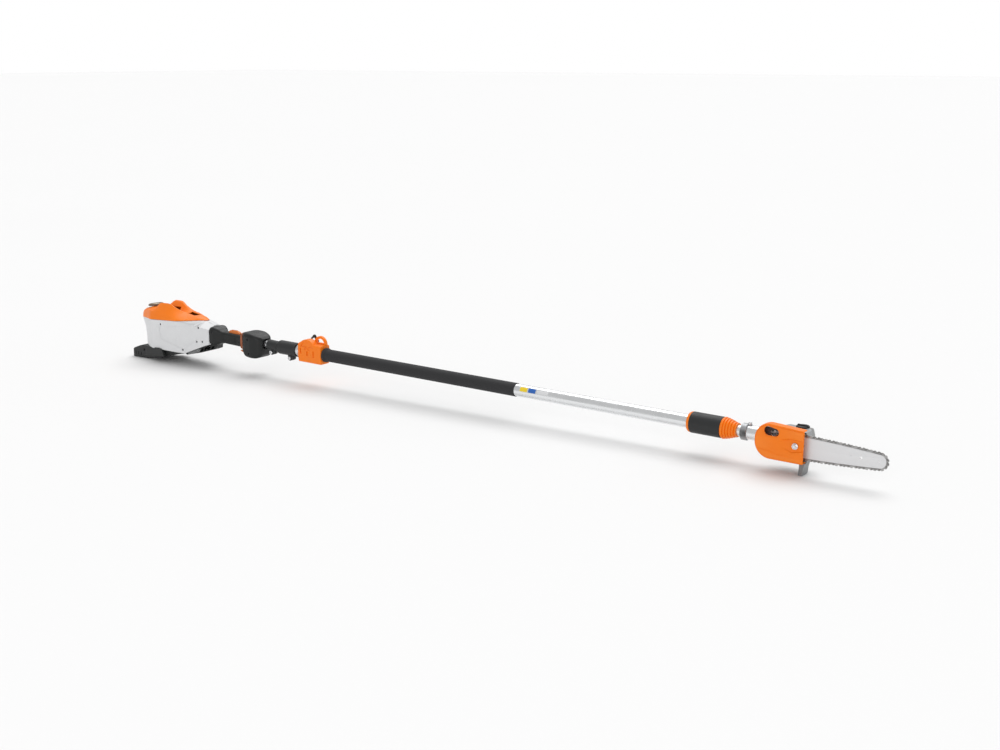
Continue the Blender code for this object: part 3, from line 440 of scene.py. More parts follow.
def finish(thing, body, paint, stands_for=(), sharp=32.0):
    """Sets the finish of a new piece, moves it into the model's frame and lets it ride."""
    bm = bmesh.new()
    bm.from_mesh(thing.data)
    bmesh.ops.remove_doubles(bm, verts=bm.verts, dist=0.004)
    bmesh.ops.dissolve_degenerate(bm, edges=bm.edges, dist=0.002)
    bm.transform(PLACE)
    bm.to_mesh(thing.data)
    bm.free()
    thing.data.materials.clear()
    thing.data.materials.append(paint)
    thing.data.shade_smooth()
    thing.data.set_sharp_from_angle(angle=math.radians(sharp))
    even = thing.modifiers.new("even", "WEIGHTED_NORMAL")
    even.keep_sharp = True
    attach(thing, body)
    if stands_for:
        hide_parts(*stands_for)
    return thing


def merged(name, things):
    """Several new meshes as one piece."""
    bm = bmesh.new()
    for thing in things:
        bm.from_mesh(thing.data)
        bpy.data.objects.remove(thing)
    mesh = bpy.data.meshes.new(name)
    bm.to_mesh(mesh)
    bm.free()
    return link(name, mesh)


def smooth_rows(rows, count):
    """Rows of numbers, first one rising, filled in with a smooth curve through them."""
    rows = np.array(rows, float)
    x = rows[:, 0]
    steps = np.diff(x)
    slopes = np.diff(rows, axis=0) / steps[:, None]
    bends = np.zeros_like(rows)
    bends[0], bends[-1] = slopes[0], slopes[-1]
    for i in range(1, len(rows) - 1):
        for k in range(rows.shape[1]):
            a, b = slopes[i - 1, k], slopes[i, k]
            if a * b > 0:
                bends[i, k] = 2 * a * b / (a + b)
    filled = []
    for place in np.linspace(x[0], x[-1], count):
        i = min(int(np.searchsorted(x, place, side="right")) - 1, len(x) - 2)
        t = (place - x[i]) / steps[i]
        h = steps[i]
        low, high = rows[i], rows[i + 1]
        row = (
            (2 * t**3 - 3 * t**2 + 1) * low
            + (t**3 - 2 * t**2 + t) * h * bends[i]
            + (-2 * t**3 + 3 * t**2) * high
            + (t**3 - t**2) * h * bends[i + 1]
        )
        row[0] = place
        filled.append(row)
    return filled


def ring(x, half_width, bottom, top, corner, count=9):
    corners = (
        ((half_width - corner, top - corner), 0),
        ((-half_width + corner, top - corner), 90),
        ((-half_width + corner, bottom + corner), 180),
        ((half_width - corner, bottom + corner), 270),
    )
    return [(x, y, z) for c, start in corners for y, z in arc(c, corner, start, start + 90, count)]


def half_ring(side, x, half_width, bottom, top, corner):
    """The part of a ring on one side of the middle."""
    points = ring(x, half_width, bottom, top, corner)
    quarter = len(points) // 4
    half = [*points[:quarter], (x, 0.12, top), (x, 0.12, bottom), *points[3 * quarter :]]
    return [(a, side * b, c) for a, b, c in half]


SIDES = (("right", -1), ("left", 1))


def socket_screws(name, places, radius=2.7, body="machine", paint=None, depth=1.0):
    """Screw heads with a round recess. Each place is (point, outward direction)."""
    heads = []
    for point, outward in places:
        turn = Vector((0, 0, 1)).rotation_difference(Vector(outward)).to_matrix().to_4x4()
        profile = [(0, -depth), (radius, -depth), (radius, 0.1), (radius - 0.5, 0.55), (radius * 0.55, 0.7)]
        profile += [(radius * 0.5, -0.4), (0, -0.4)]
        heads.append(lathe(f"{name}_head", profile, "Z", point, 20, turn))
    return finish(merged(name, heads), body, paint or DARK_STEEL, sharp=40)


# ---- battery housing


def side_depth(x):
    """Half width of the housing at x, where its side is flat or slopes to the front."""
    if x < -596:
        return 28 + (x + 675) * 32 / 79
    return 60.0 if x < -478 else 60 - (x + 478) * 26 / 128


def panel_cutter(name, outline, side, depth=2.6, inset=3.4):
    """A shallow panel sunk into the housing side, with sloping edges."""
    middle = Vector((sum(x for x, _ in outline), sum(z for _, z in outline))) / len(outline)
    rings = []
    for out, share in ((1.2, -0.35), (-depth, 1.0)):
        points = []
        for x, z in outline:
            way = (middle - Vector((x, z))).normalized() * inset * share
            px = x if abs(x + 478) < 0.01 else x + way.x
            points.append((px, side * (side_depth(px) + out), z + way.y))
        rings.append(points)
    return skin(name, rings)


PANEL_REAR = [(-564, 10), (-478, 23.2), (-478, -47), (-556, -30)]
PANEL_FRONT = [(-478, 23.2), (-424, 31), (-392, -10), (-449, -54), (-478, -47)]


def housing():
    for label, side in SIDES:
        shell = copy_of(f"battery_housing_{label}", f"housing_shell_{label}")
        rear_panel = panel_cutter("panel_rear", PANEL_REAR, side)
        cut(shell, rear_panel, panel_cutter("panel_front", PANEL_FRONT, side))
        bosses = []
        spots = [(-553, 20), (-390, 25.5), (-398, -22), (-376, -20), (-454, -55)]
        for x, z in spots:
            y = side_depth(x)
            bosses.append(rod("screw_well", "Y", -3.6, 3.6, 3.6, (x, side * y, z), 24))
        cut(shell, *bosses)
        round_edges(shell, 0.9, 2, 24)
        finish(shell, "machine", WHITE, [f"battery_housing_{label}"])
        heads = [((x, side * (side_depth(x) - 2.2), z), (0, side, 0)) for x, z in spots]
        socket_screws(f"housing_screws_{label}", heads, 2.9)


# x, half width and height of the seam, shoulder y z, crest y z, height of the centre line
COVER_ROWS = [
    (-675, 28, 27, 26, 42, 16, 48, 49),
    (-664, 32, 27.5, 30, 52, 20, 57, 58),
    (-640, 42, 29, 38, 57, 26, 62.5, 63),
    (-602, 58, 31.4, 50, 58, 31, 70, 62),
    (-574, 59.4, 33.4, 51.5, 58.5, 33, 87, 59),
    (-542, 60, 35.5, 52.5, 56.5, 31, 88, 56),
    (-514, 60, 37.3, 53, 54, 27, 76, 57),
    (-488, 60, 39.1, 53, 51, 23, 66.5, 60),
    (-470, 56, 40.5, 47, 50, 19, 62, 59.5),
    (-446, 43, 42, 33, 50, 16, 58, 58.5),
    (-415, 25, 44.4, 20, 50, 10, 54, 54.5),
    (-387, 8, 45.4, 6, 46.4, 3, 46.8, 47),
]


def cover_section(row, lift=0.2):
    x, half, seam, shoulder_y, shoulder_z, crest_y, crest_z, middle = row
    low = (half - 0.4, seam + min(6, (shoulder_z - seam) * 0.35))
    flank_y = (shoulder_y * 0.45 + crest_y * 0.55)
    flank_z = (shoulder_z * 0.5 + crest_z * 0.5)
    side = [
        (half, seam), low, (shoulder_y, shoulder_z), (flank_y, flank_z), (crest_y, crest_z),
        (crest_y * 0.8, crest_z * 0.93 + middle * 0.07), (crest_y * 0.5, (crest_z + middle) / 2),
        (crest_y * 0.25, crest_z * 0.12 + middle * 0.88),
    ]
    around = [*side, (0, middle), *((-y, z) for y, z in reversed(side))]
    return [(x, y, z + lift) for y, z in around]


BATTERY_TOP = (-638.0, 0.0, 63.0)
LEAN = Matrix.Rotation(math.radians(-2), 4, "Y")
TILT = Matrix.Rotation(math.radians(-7), 4, "Y")


def cover():
    shell = skin("top_cover_shell", [cover_section(row) for row in smooth_rows(COVER_ROWS, 61)])
    inner = []
    for x, half, seam, sy, sz, cy, cz, middle in COVER_ROWS:
        shoulder, crest = (max(sy - 2.6, 2.5), sz - 3), (max(cy - 1, 1.5), cz - 3)
        inner.append((x, max(half - 3, 3), seam - 15, *shoulder, *crest, middle - 3))
    inner[0] = (-671.5, *inner[0][1:])
    inner[-1] = (-397, 10, 30, 8, 44, 4, 45, 45.5)
    hollow = skin("cover_hollow", [cover_section(row) for row in smooth_rows(inner, 41)])
    battery_hole = block("battery_hole", (2, -27, -25), (53, 27, 40), BATTERY_TOP, LEAN)
    latch_hole = block("latch_hole", (-579, -15, 40), (-530, 15, 80))
    panel_hole = block("panel_hole", (-474, -13, 40), (-432, 13, 80))
    cut(shell, hollow, battery_hole, latch_hole, panel_hole)
    round_edges(shell, 1.6, 3, 17)
    finish(shell, "machine", ORANGE, ["top_cover"], sharp=30)


def battery():
    pack = block("battery_block", (3, -26, -104), (52, 26, 3), BATTERY_TOP, LEAN)
    round_edges(pack, 3, 3)
    neck = block("battery_neck", (4, -8, 0), (16, 8, 7), BATTERY_TOP, LEAN)
    join(pack, neck)
    finish(pack, "battery", ORANGE, ["battery_pack"])
    profile = [(0, 10.2), (5, 10.1), (10, 9.5), (15, 8.3), (17.6, 7.2), (18.5, 6.4), (18.5, 3.4), (0, 3.4)]
    cap = lathe("battery_cap", profile, "Z", BATTERY_TOP, 96, TILT)
    finish(cap, "battery", CREAM)
    profile = [
        (20.6, 10), (21.6, 10.7), (22.9, 10.4), (24.9, 8.9), (25.8, 7.4), (25.8, 5.0), (24.6, 3.8),
        (23.5, 3.4), (19, 3.4), (19, 8.5),
    ]
    grip = lathe("battery_grip_ring", profile, "Z", BATTERY_TOP, 96, TILT)
    finish(grip, "battery", TAUPE, ["battery_ring"])
    side = [(-7, 4), (-7, -3), (24, -4), (28, 8), (25.5, 8.6), (24, 8), (22.6, 4), (20, 1), (6, 1.6)]
    latch = prism("battery_latch_lever", [(x - 566, z + 52) for x, z in side], -13, 13)
    ridges = [block("ridge", (-566 + x, -10, 52.8), (-566 + x + 1.2, 10, 54.2)) for x in (-3, 0, 3, 6, 9)]
    round_edges(latch, 0.8, 2)
    join(latch, *ridges)
    finish(latch, "battery_latch", BLACK, ["battery_latch"])


def panel():
    base = block("control_plate", (-473, -12, 47), (-433, 12, 52))
    cut(base, rod("button_pocket", "Z", 48, 60, 5.4, (-444, 0, 0)))
    round_edges(base, 0.8, 2)
    finish(base, "machine", BLACK, ["control_panel"])
    lamps = [rod("lamp", "Z", 51.9, 52.4, 1.3, (-467 + 5 * i, 0, 0), 20, 0.2) for i in range(4)]
    finish(merged("charge_lamps", lamps), "machine", LAMP)
    profile = [(0, 3.0), (3.6, 3.0), (4.6, 2.7), (5, 2.1), (5, -2.2), (0, -2.2)]
    button = lathe("mode_button_cap", profile, "Z", (-444, 0, 51.5), 48)
    finish(button, "mode_button", ORANGE_DARK, ["mode_button"])


def foot():
    base = copy_of("rear_foot", "rear_skid")
    wells = []
    for side in (-1, 1):
        wells.append(rod("foot_well", "Y", -6, 6, 4.2, (-652, side * 50, -82), 28))
        for x in (-700, -686, -672):
            wells.append(block("foot_groove", (x, side * 50 - 8, -104), (x + 3, side * 50 + 8, -92)))
    cut(base, *wells)
    round_edges(base, 1.5, 3, 24)
    finish(base, "machine", BLACK, ["rear_foot"])
    spots = [((-566, side * 63.2, -76), (0, side, 0)) for side in (-1, 1)]
    socket_screws("foot_screws", spots, 3.4)


INTAKE_WINDOW = [(-436, -63.6), (-392, -45.4), (-386, -46), (-389, -55.6), (-424, -66), (-434, -67.6)]


def intake():
    round_frame = copy_of("intake_frame", "intake_grille")
    round_edges(round_frame, 0.5, 2, 30)
    finish(round_frame, "machine", BLACK, ["intake_frame"])
    paint_node("intake_filter", FILTER)
    for label, side in SIDES:
        outer, inner = [], []
        for x, z in INTAKE_WINDOW:
            y = 50 - (x + 446) * 10 / 62 if x < -384 else 40.0
            outer.append((x, side * (y + 0.35), z))
            inner.append((x, side * (y - 1.2), z))
        window = skin(f"intake_mesh_{label}", [outer, inner])
        finish(window, "machine", FILTER)


# ---- handle and guard

HANDLE_ROWS = [
    (-352, 32, -27, 30, 13),
    (-338, 32, -28.5, 32, 13),
    (-324, 27.5, -26.5, 27, 11),
    (-314, 20.5, -21, 20.5, 9),
    (-304, 17, -19.5, 18, 9),
    (-280, 17, -20.5, 18, 10),
    (-245, 17.5, -21, 17, 10),
    (-212, 19, -22, 17, 10),
]
GUARD_ROWS = [
    (-204, 25, -28, 31, 12),
    (-194, 33, -38, 33.5, 12),
    (-181, 38, -45, 34, 12),
    (-160, 38.5, -47, 33, 12),
    (-146, 36.5, -46.5, 30, 12),
    (-131, 30, -42, 25, 11),
    (-122, 21, -33, 18, 9),
]


def handle():
    outer_rows = smooth_rows(HANDLE_ROWS, 57)
    inner_rows = [(x, w - 2.6, b + 2.6, t - 2.6, max(c - 2.6, 2)) for x, w, b, t, c in outer_rows]
    inner_rows[0] = (-360, *inner_rows[0][1:])
    inner_rows[-1] = (-200, *inner_rows[-1][1:])
    for label, side in SIDES:
        shell = skin(f"handle_shell_{label}", [half_ring(side, *row) for row in outer_rows])
        hollow = skin("handle_hollow", [ring(*row) for row in inner_rows])
        trigger_slot = block("trigger_slot", (-236, -6.5, -40), (-205, 6.5, -12))
        lockout_slot = block("lockout_slot", (-289, -6.5, 6), (-232, 6.5, 40))
        trim = block("handle_trim", (-400, -80, -80), (-349.7, 80, 80))
        spots = [(-338, 32, 16), (-226, 18.5, -6)]
        wells = [rod("well", "Y", -4, 4, 3.2, (x, side * y, z), 24) for x, y, z in spots]
        grooves = [
            block("grip_groove", (x, side * 17.6 - 0.9, -11), (x + 2.6, side * 17.6 + 0.9, 6))
            for x in range(-298, -235, 7)
        ]
        cut(shell, hollow, trigger_slot, lockout_slot, trim, *wells, *grooves)
        round_edges(shell, 0.45, 2, 40)
        finish(shell, "machine", BLACK, [f"handle_{label}"])
        heads = [((x, side * (y - 1.6), z), (0, side, 0)) for x, y, z in spots]
        socket_screws(f"handle_screws_{label}", heads, 2.5)


def controls():
    side = [(-3.5, -3), (-3.5, 3), (-1, 6.5), (2, 9), (20, 9.6), (36, 8), (41, 6), (46, 3), (46, -3)]
    lever = prism("lockout_paddle", [(x - 282, z + 17) for x, z in side], -5.5, 5.5)
    round_edges(lever, 1.1, 3)
    ridges = [block("ridge", (-274 + 4 * i, -4.2, 25.2), (-272.6 + 4 * i, 4.2, 27.1)) for i in range(6)]
    join(lever, *ridges)
    finish(lever, "lockout", ORANGE_DARK, ["lockout_lever"])
    side = [
        (-4, 3), (4, 3), (5, -4), (5, -12), (4.2, -18), (2, -22), (-1, -25.5), (-5, -27), (-12, -25.2),
        (-20, -22), (-20, -19), (-13, -19.8), (-8.8, -19), (-6.4, -15), (-5, -10),
    ]
    trigger = prism("trigger_blade", [(x - 213, z - 14) for x, z in side], -5.5, 5.5)
    round_edges(trigger, 1.2, 3)
    finish(trigger, "trigger", ORANGE_DARK, ["trigger"])


def guard():
    rows = smooth_rows(GUARD_ROWS, 37)
    for label, side in SIDES:
        shell = skin(f"guard_shell_{label}", [half_ring(side, *row) for row in rows])
        room = [ring(x, w - 2.8, b + 2.8, t - 2.8, c) for x, w, b, t, c in rows]
        room[0] = [(-210, y, z) for _, y, z in room[0]]
        hollow = skin("guard_hollow", room)
        cut(hollow, block("guard_front_wall", (-137, -60, -60), (-90, 60, 60)))
        tube_hole = rod("guard_hole", "X", -140, -95, 12.8)
        recess = rod("guard_recess", "X", -134, -90, 16.5)
        spots = [(-168, 38.6, 14), (-163, 38.8, -31), (-192, 33.6, 20)]
        wells = [rod("well", "Y", -4, 4, 3.3, (x, side * y, z), 24) for x, y, z in spots]
        cut(shell, hollow, tube_hole, recess, *wells)
        round_edges(shell, 0.6, 2, 40)
        finish(shell, "machine", BLACK, [f"guard_{label}"])
        heads = [((x, side * (y - 2.2), z), (0, side, 0)) for x, y, z in spots]
        socket_screws(f"guard_screws_{label}", heads, 2.6)
    collar = skin("guard_trim_ring", [
        ring(*row) for row in smooth_rows(
            [(-217, 22, -25, 23, 9), (-212, 23.4, -26.4, 28, 10), (-204.3, 25, -28, 31, 12)], 9)
    ])
    opening = skin("collar_opening", [ring(x, 20.2, -23.4, 18.4, 9) for x in (-230, -200)])
    cut(collar, opening, block("collar_gap", (-245, -7.5, -60), (-206, 7.5, -14)))
    round_edges(collar, 0.6, 2, 40)
    finish(collar, "machine", RUST, ["guard_collar"])


# ---- pole

OUTER_R, OUTER_BORE, INNER_R = 18.0, 16.5, 14.0


def coupling():
    profile = [
        (22, 18.8), (20.8, 20), (18.3, 20), (18.3, -45.5),
        (12.8, -46), (12.8, -106), (16.9, -106), (17.5, -105.2),
        (17.2, -90), (16.5, -68), (17.6, -64), (19.5, -60), (21.2, -57.2), (22, -54),
    ]
    sleeve = lathe("coupling_clamp", profile)
    for x, z, size, bore in ((-89, -20.5, 8.5, 12.8), (-9.5, -28.5, 8.5, 18.3)):
        outline = [(x - size, 0), *arc((x, z), size, 180, 360, 25), (x + size, 0)]
        lug = prism("coupling_lug", outline, -10, 10)
        round_edges(lug, 0.8, 2, 40)
        cut(lug, rod("lug_bore", "X", x - 40, x + 30, bore))
        join(sleeve, lug)
        cut(
            sleeve,
            rod("bolt_hole", "Y", -30, 30, 3.4, (x, 0, z)),
            block("slit", (x - 24, -1.2, z - 20), (x + 30, 1.2, -10)),
        )
    finish(sleeve, "machine", SLEEVE, ["coupling_sleeve"])
    for label, x, z in (("rear", -89, -20.5), ("front", -9.5, -28.5)):
        profile = [
            (0, 12.2), (2.6, 12.2), (3.0, 15), (4.9, 15), (5.5, 14.4), (5.5, 10.3), (3, 10.3), (3, -10.3),
            (5.5, -10.3), (5.5, -14.4), (4.9, -15), (3.0, -15), (2.6, -12.2), (0, -12.2),
        ]
        bolt = lathe(f"coupling_bolt_{label}_steel", profile, "Y", (x, 0, z), 40)
        finish(bolt, "machine", BRIGHT_STEEL, [f"coupling_bolt_{label}"])


def bracket():
    profile = [(22, 26), (22, -10), (19, -30), (-19, -30), (-22, -10), (-22, 26), (-14, 31), (14, 31)]
    body = skin("strap_carrier", [[(x, y, z) for y, z in profile] for x in (36, 132)])
    round_edges(body, 3.2, 4, 20)
    dome = prism("carrier_dome", [(38, 8), *arc((74, 8), 36, 175, 5, 49), (110, 8)], -22, 1.6)
    round_edges(dome, 1.8, 3, 40)
    join(body, dome)
    hollow = [(45, 20), *arc((74, 12), 26, 160, 20, 33), (103, 20)]
    recess = prism("dome_recess", hollow, -30, -20)
    slots = []
    for x, low, high in ((49, -1, 13), (76, -6, 6), (102, -8, 9)):
        outline = [*arc((x, high), 2.2, 0, 180, 9), *arc((x, low), 2.2, 180, 360, 9)]
        slots.append(prism("carrier_slot", outline, -30, -19))
    mark = [(64, 14), (76, 24), (90, 13), (84, 10), (76, 15), (69, 10)]
    slots.append(prism("carrier_mark", mark, -30, -20.5))
    cut(body, rod("carrier_bore", "X", 0, 160, 18.3, steps=96), recess, *slots)
    finish(body, "machine", ORANGE, ["strap_bracket"])
    side = [(86, 31.3), (86, 36), *arc((110, 31.5), 24, 150, 0, 41), (134, 31.3), (124, 31.3)]
    loop = prism("strap_eye", side, 2, 10)
    hole = prism("eye_hole", [(95, 34.5), (95, 37), *arc((110, 31), 17, 147, 12, 33)], -5, 20)
    cut(loop, hole, rod("pin_hole", "Y", 3.7, 20, 1.8, (90, 0, 34.5)))
    round_edges(loop, 1.2, 3, 40)
    finish(loop, "machine", ORANGE, ["strap_loop"])
    gate = copy_of("strap_gate", "strap_gate_lever")
    round_edges(gate, 0.8, 2, 30)
    finish(gate, "strap_gate", BLACK, ["strap_gate"])
    for label, x in (("rear", 30.5), ("front", 133.0)):
        profile = [(18.05, x - 1.2), (19.0, x - 0.8), (19.2, x), (19.0, x + 0.7), (18.05, x + 0.9)]
        rim = lathe(f"carrier_rim_{label}", profile)
        finish(rim, "machine", BRIGHT_STEEL)


def patch(name, x_from, x_to, start_deg, end_deg, radius):
    """A thin label bent round the pole."""
    outer = arc((0, 0), radius + 0.08, start_deg, end_deg, 13)
    inner = arc((0, 0), radius - 0.05, end_deg, start_deg, 13)
    return skin(name, [[(x, -across, up) for across, up in (*outer, *inner)] for x in (x_from, x_to)])


def pole():
    outer = tube("outer_pole_tube", -40, 1512, OUTER_R, OUTER_BORE)
    finish(outer, "machine", ALUMINIUM, ["outer_tube"])
    profile = [
        (19.4, 857), (19.4, 145), (20.4, 144), (21.9, 142.6), (22.5, 141),
        (22.5, 136), (21.6, 134), (18.3, 134), (18.3, 857),
    ]
    finish(lathe("pole_grip_sleeve", profile), "machine", RUBBER, ["foam_sleeve"])
    drive = tube("drive_pole_tube", -150, -48, 12.5, 10.8)
    finish(drive, "machine", ALUMINIUM, ["drive_tube"])
    inner = tube("inner_pole_tube", 130, 1598, INNER_R, 12.5)
    finish(inner, "inner_pole", ALUMINIUM, ["inner_tube"])
    labels = [
        ("pole_label_yellow", 878, 902, 10, 52, YELLOW),
        ("pole_label_blue", 906, 930, 10, 52, BLUE),
        ("pole_label_edge", 934, 972, 14, 46, WHITE),
    ]
    for name, start, end, low, high, paint in labels:
        finish(patch(name, start, end, low, high, OUTER_R), "machine", paint)


def clamp():
    cone_from, cone_to, grooves = 1502.0, 1541.0, 5
    length = cone_to - 4 - cone_from
    rows = [(18.5, cone_to), (18.9, cone_to - 2)]
    for i in range(grooves, 0, -1):
        near, far = cone_from + length * (i - 1) / grooves, cone_from + length * i / grooves
        radius = 29 - 8.5 * (i / grooves) ** 1.6
        rows += [
            (radius - 3.2, far - 0.6), (radius - 3.2, far - 1.5),
            (radius - 0.7, far - 1.9), (radius - 0.1, far - 2.6),
            (radius + 0.5, near + 1.4), (radius + 0.1, near + 0.4), (radius - 0.8, near),
        ]
    rows += [(27.5, cone_from - 1.5), (23, cone_from - 1.5), (23, 1462), (18.3, 1462)]
    rows += [(18.3, 1513), (14.3, 1513.5), (14.3, cone_to)]
    cone = lathe("clamp_cone_orange", rows)
    finish(cone, "clamp_nut", ORANGE, ["clamp_cone"], sharp=50)
    profile = [
        (27.2, 1499), (28, 1497.6), (28, 1413.2), (27, 1412),
        (18.6, 1412), (18.6, 1461), (23.5, 1461), (23.5, 1499),
    ]
    finish(lathe("clamp_grip", profile), "clamp_nut", SLEEVE, ["clamp_sleeve"])
    profile = [(27.5, 1411.7), (27.5, 1409), (26.8, 1406.5), (25.0, 1404), (18.6, 1404), (18.6, 1411.7)]
    finish(lathe("clamp_end_ring", profile), "machine", ORANGE, ["clamp_ring"])


# ---- saw head

HEAD_X, BAR_Z, BAR_Y = 1655.0, -6.0, -25.0
BAR_TIP, BAR_TAIL, NOSE_R = 1939.0, 1680.0, 17.0
STUD = (1715.0, -1.0)
AT_STUD = (1715.0, 0, -1.0)
NOSE_X = BAR_TIP - NOSE_R
RAIL_X = BAR_TAIL + 12


def head_outline(grow=0.0, front=1737.0, count=33):
    top, bottom, rear = 45.0 + grow, -46.0 - grow, 1606.0 - grow
    radius = 42.0 + grow
    upper = arc((rear + radius, top - radius), radius, 90, 180, count)
    lower = arc((rear + radius, bottom + radius), radius, 180, 270, count)
    return [(front, top - 5), *upper, *lower, (front, bottom)]


def window_shape(rear, front):
    """The cover's oval window, from the radii of its two ends."""
    return [*arc((1643.5, 26.5), rear, 90, 270, 25), *arc((1661, 24.5), front, 270, 450, 25)]


def saw_cover():
    shell = prism("saw_cover_shell", head_outline(), -45, -21.5)
    round_edges(shell, 4, 5, 50)
    raised = prism("cover_raised", head_outline(-5, 1735.5), -46.9, -44)
    channel = [(1668, 9), (1700, 16), (1745, 14), (1745, -10.5), (1706, -20), (1672, -10)]
    channel_cut = skin("cover_channel", [
        [(x, -48.5, z * 1.06) for x, z in channel],
        [(x + (14 if x < 1690 else 4 if x < 1740 else 0), -43.7, z * 0.86) for x, z in channel],
    ])
    window_outline = window_shape(13.2, 11.4)
    dish = skin("window_dish", [
        [(x + (x - 1652) * 0.16, -47.5, z + (z - 26) * 0.2) for x, z in window_outline],
        [(x, -45.6, z) for x, z in window_outline],
    ])
    cut(raised, dish)
    fold = [(1590, -14), (1634, -20), (1672, -27), (1745, -31)]
    crease = skin("cover_crease", [
        [*((x, y, z - drop) for x, z in fold), (1745, y, -60), (1590, y, -60)]
        for y, drop in ((-48, 0), (-46.1, 3))
    ])
    cut(raised, crease)
    round_edges(raised, 0.9, 3, 30)
    join(shell, raised)
    inside = prism("cover_inside", head_outline(-2.6, 1747), -42.4, -11)
    window = prism("cover_window", window_shape(12, 10.2), -60, -30)
    stud_hole = rod("cover_stud_hole", "Y", -60, -30, 4.5, AT_STUD)
    cut(shell, inside, window, stud_hole, channel_cut)
    finish(shell, "inner_pole", ORANGE, ["sprocket_cover"], sharp=35)
    nut = rod("cover_nut_hex", "Y", -51.5, -46, 7.2, AT_STUD, 6)
    round_edges(nut, 0.7, 3, 30)
    join(nut, rod("nut_flange", "Y", -47.2, -45.3, 8.2, AT_STUD, 48, 0.5))
    cut(nut, rod("nut_bore", "Y", -60, -30, 4.3, AT_STUD))
    finish(nut, "cover_nut", BRIGHT_STEEL, ["cover_nut"])


def gearbox():
    body = prism("gearbox_body", head_outline(-4, 1733), -21, 14)
    cut(body, block("gearbox_room", (1590, -60, 30), (1760, 60, 80)))
    round_edges(body, 3, 4, 40)
    neck_profile = [
        (18.5, 1625), (18.5, 1570.8), (19.4, 1570), (21.2, 1569.4), (22, 1568.2), (22, 1555), (21.2, 1554),
        (14.3, 1554), (14.3, 1600), (10, 1600), (10, 1625),
    ]
    neck = lathe("gearbox_neck", neck_profile)
    boss = rod("gearbox_boss", "Z", 15, 21.5, 6, (1573, 0, 0), 40, 0.8)
    cut(boss, rod("boss_bore", "X", 1540, 1620, 14.3))
    join(body, neck, boss)
    cut(
        body,
        rod("gear_room", "Y", -14, 24, 25, (HEAD_X, 0, 0)),
        rod("pinion_room", "X", 1598, HEAD_X, 10.6),
        rod("axle_bore", "Y", -30, 0, 8.6, (HEAD_X, 0, 0)),
        rod("stud_hole", "Y", -30, 0, 4.3, AT_STUD),
        rod("tensioner_room", "X", 1696, 1745, 4.2, (0, -12, -30)),
        rod("boss_hole", "Z", 13, 30, 3.3, (1573, 0, 0)),
    )
    finish(body, "inner_pole", CASTING, ["gearbox_housing"])
    profile = [(18.3, 1571.5), (18.85, 1571.7), (18.85, 1606), (18.3, 1606)]
    finish(lathe("neck_machined_band", profile), "inner_pole", ALUMINIUM)
    profile = [(0, 13.3), (24.9, 13.3), (24.9, 14.0), (24.3, 14.2), (0, 14.2)]
    finish(lathe("gear_room_lid", profile, "Y", (HEAD_X, 0, 0)), "inner_pole", CASTING)
    profile = [(0, 23.4), (1.6, 23.4), (2.2, 25.4), (4.4, 25.4), (5, 24.9), (5, 21.8), (3, 21.8)]
    screw = lathe("neck_clamp_screw", [*profile, (3, 14.6), (0, 14.6)], "Z", (1573, 0, 0), 40)
    finish(screw, "inner_pole", BRIGHT_STEEL, ["neck_screw"])
    outline = [
        (1733, 14), (1728, 30), (1666, 30), (1648, 24), (1632, 8),
        (1626, -10), (1636, -34), (1650, -42), (1733, -42),
    ]
    tank = prism("oil_tank_shell", outline, 14.3, 38)
    round_edges(tank, 4, 5, 20)
    cut(tank, rod("tank_filler", "Z", 20, 50, 9.6, (1703, 26.5, 0)))
    seam = prism("tank_seam", [(x + (x - 1685) * 0.006, z + (z + 6) * 0.014) for x, z in outline], 25.6, 26.6)
    round_edges(seam, 0.3, 2, 20)
    join(tank, seam)
    finish(tank, "inner_pole", TANK_GREY, ["oil_tank"])
    spots = [((x, 38.3, z), (0, 1, 0)) for x, z in ((1725, 20), (1725, -36), (1656, -35), (1650, 15))]
    socket_screws("tank_screws", spots, 2.6, "inner_pole", BRIGHT_STEEL)
    profile = [(0, 4.2), (14.6, 4.2), (16.2, 3.8), (17, 2.8), (17, 0.4), (9.2, 0.4), (9.2, -8), (0, -8)]
    cap = lathe("oil_cap_lid", profile, "Z", (1703, 26.5, 30), 96)
    notches = []
    for i in range(24):
        turn = Matrix.Rotation(math.tau * i / 24, 4, "Z")
        notches.append(block("notch", (16.3, -0.8, -1), (18, 0.8, 3.4), (1703, 26.5, 30), turn))
    knurl = merged("knurl", notches)
    cut(cap, knurl)
    grip = block("cap_grip", (-14, -2.6, 3), (14, 2.6, 7), (1703, 26.5, 30))
    round_edges(grip, 1.2, 3)
    join(cap, grip)
    finish(cap, "oil_cap", BLACK, ["oil_cap"])
    profile = [(0, -1), (4, -1), (4, -51.8), (3.3, -52.5), (0, -52.5)]
    stud = lathe("bar_stud_steel", profile, "Y", AT_STUD, 40)
    finish(stud, "inner_pole", BRIGHT_STEEL, ["bar_stud"])


def bar_outline(grow, rail_points=24, nose_points=41):
    """The bar from the side: bowed rails that run into a round nose."""
    upper = []
    for i in range(rail_points):
        share = i / rail_points
        height = 27.0 - (27.0 - NOSE_R) * share**1.8
        upper.append((RAIL_X + (NOSE_X - RAIL_X) * share, BAR_Z + height + grow))
    lower = [(x, 2 * BAR_Z - z) for x, z in reversed(upper)]
    nose = arc((NOSE_X, BAR_Z), NOSE_R + grow, 84, -84, nose_points)
    return [*upper, *nose, *lower]


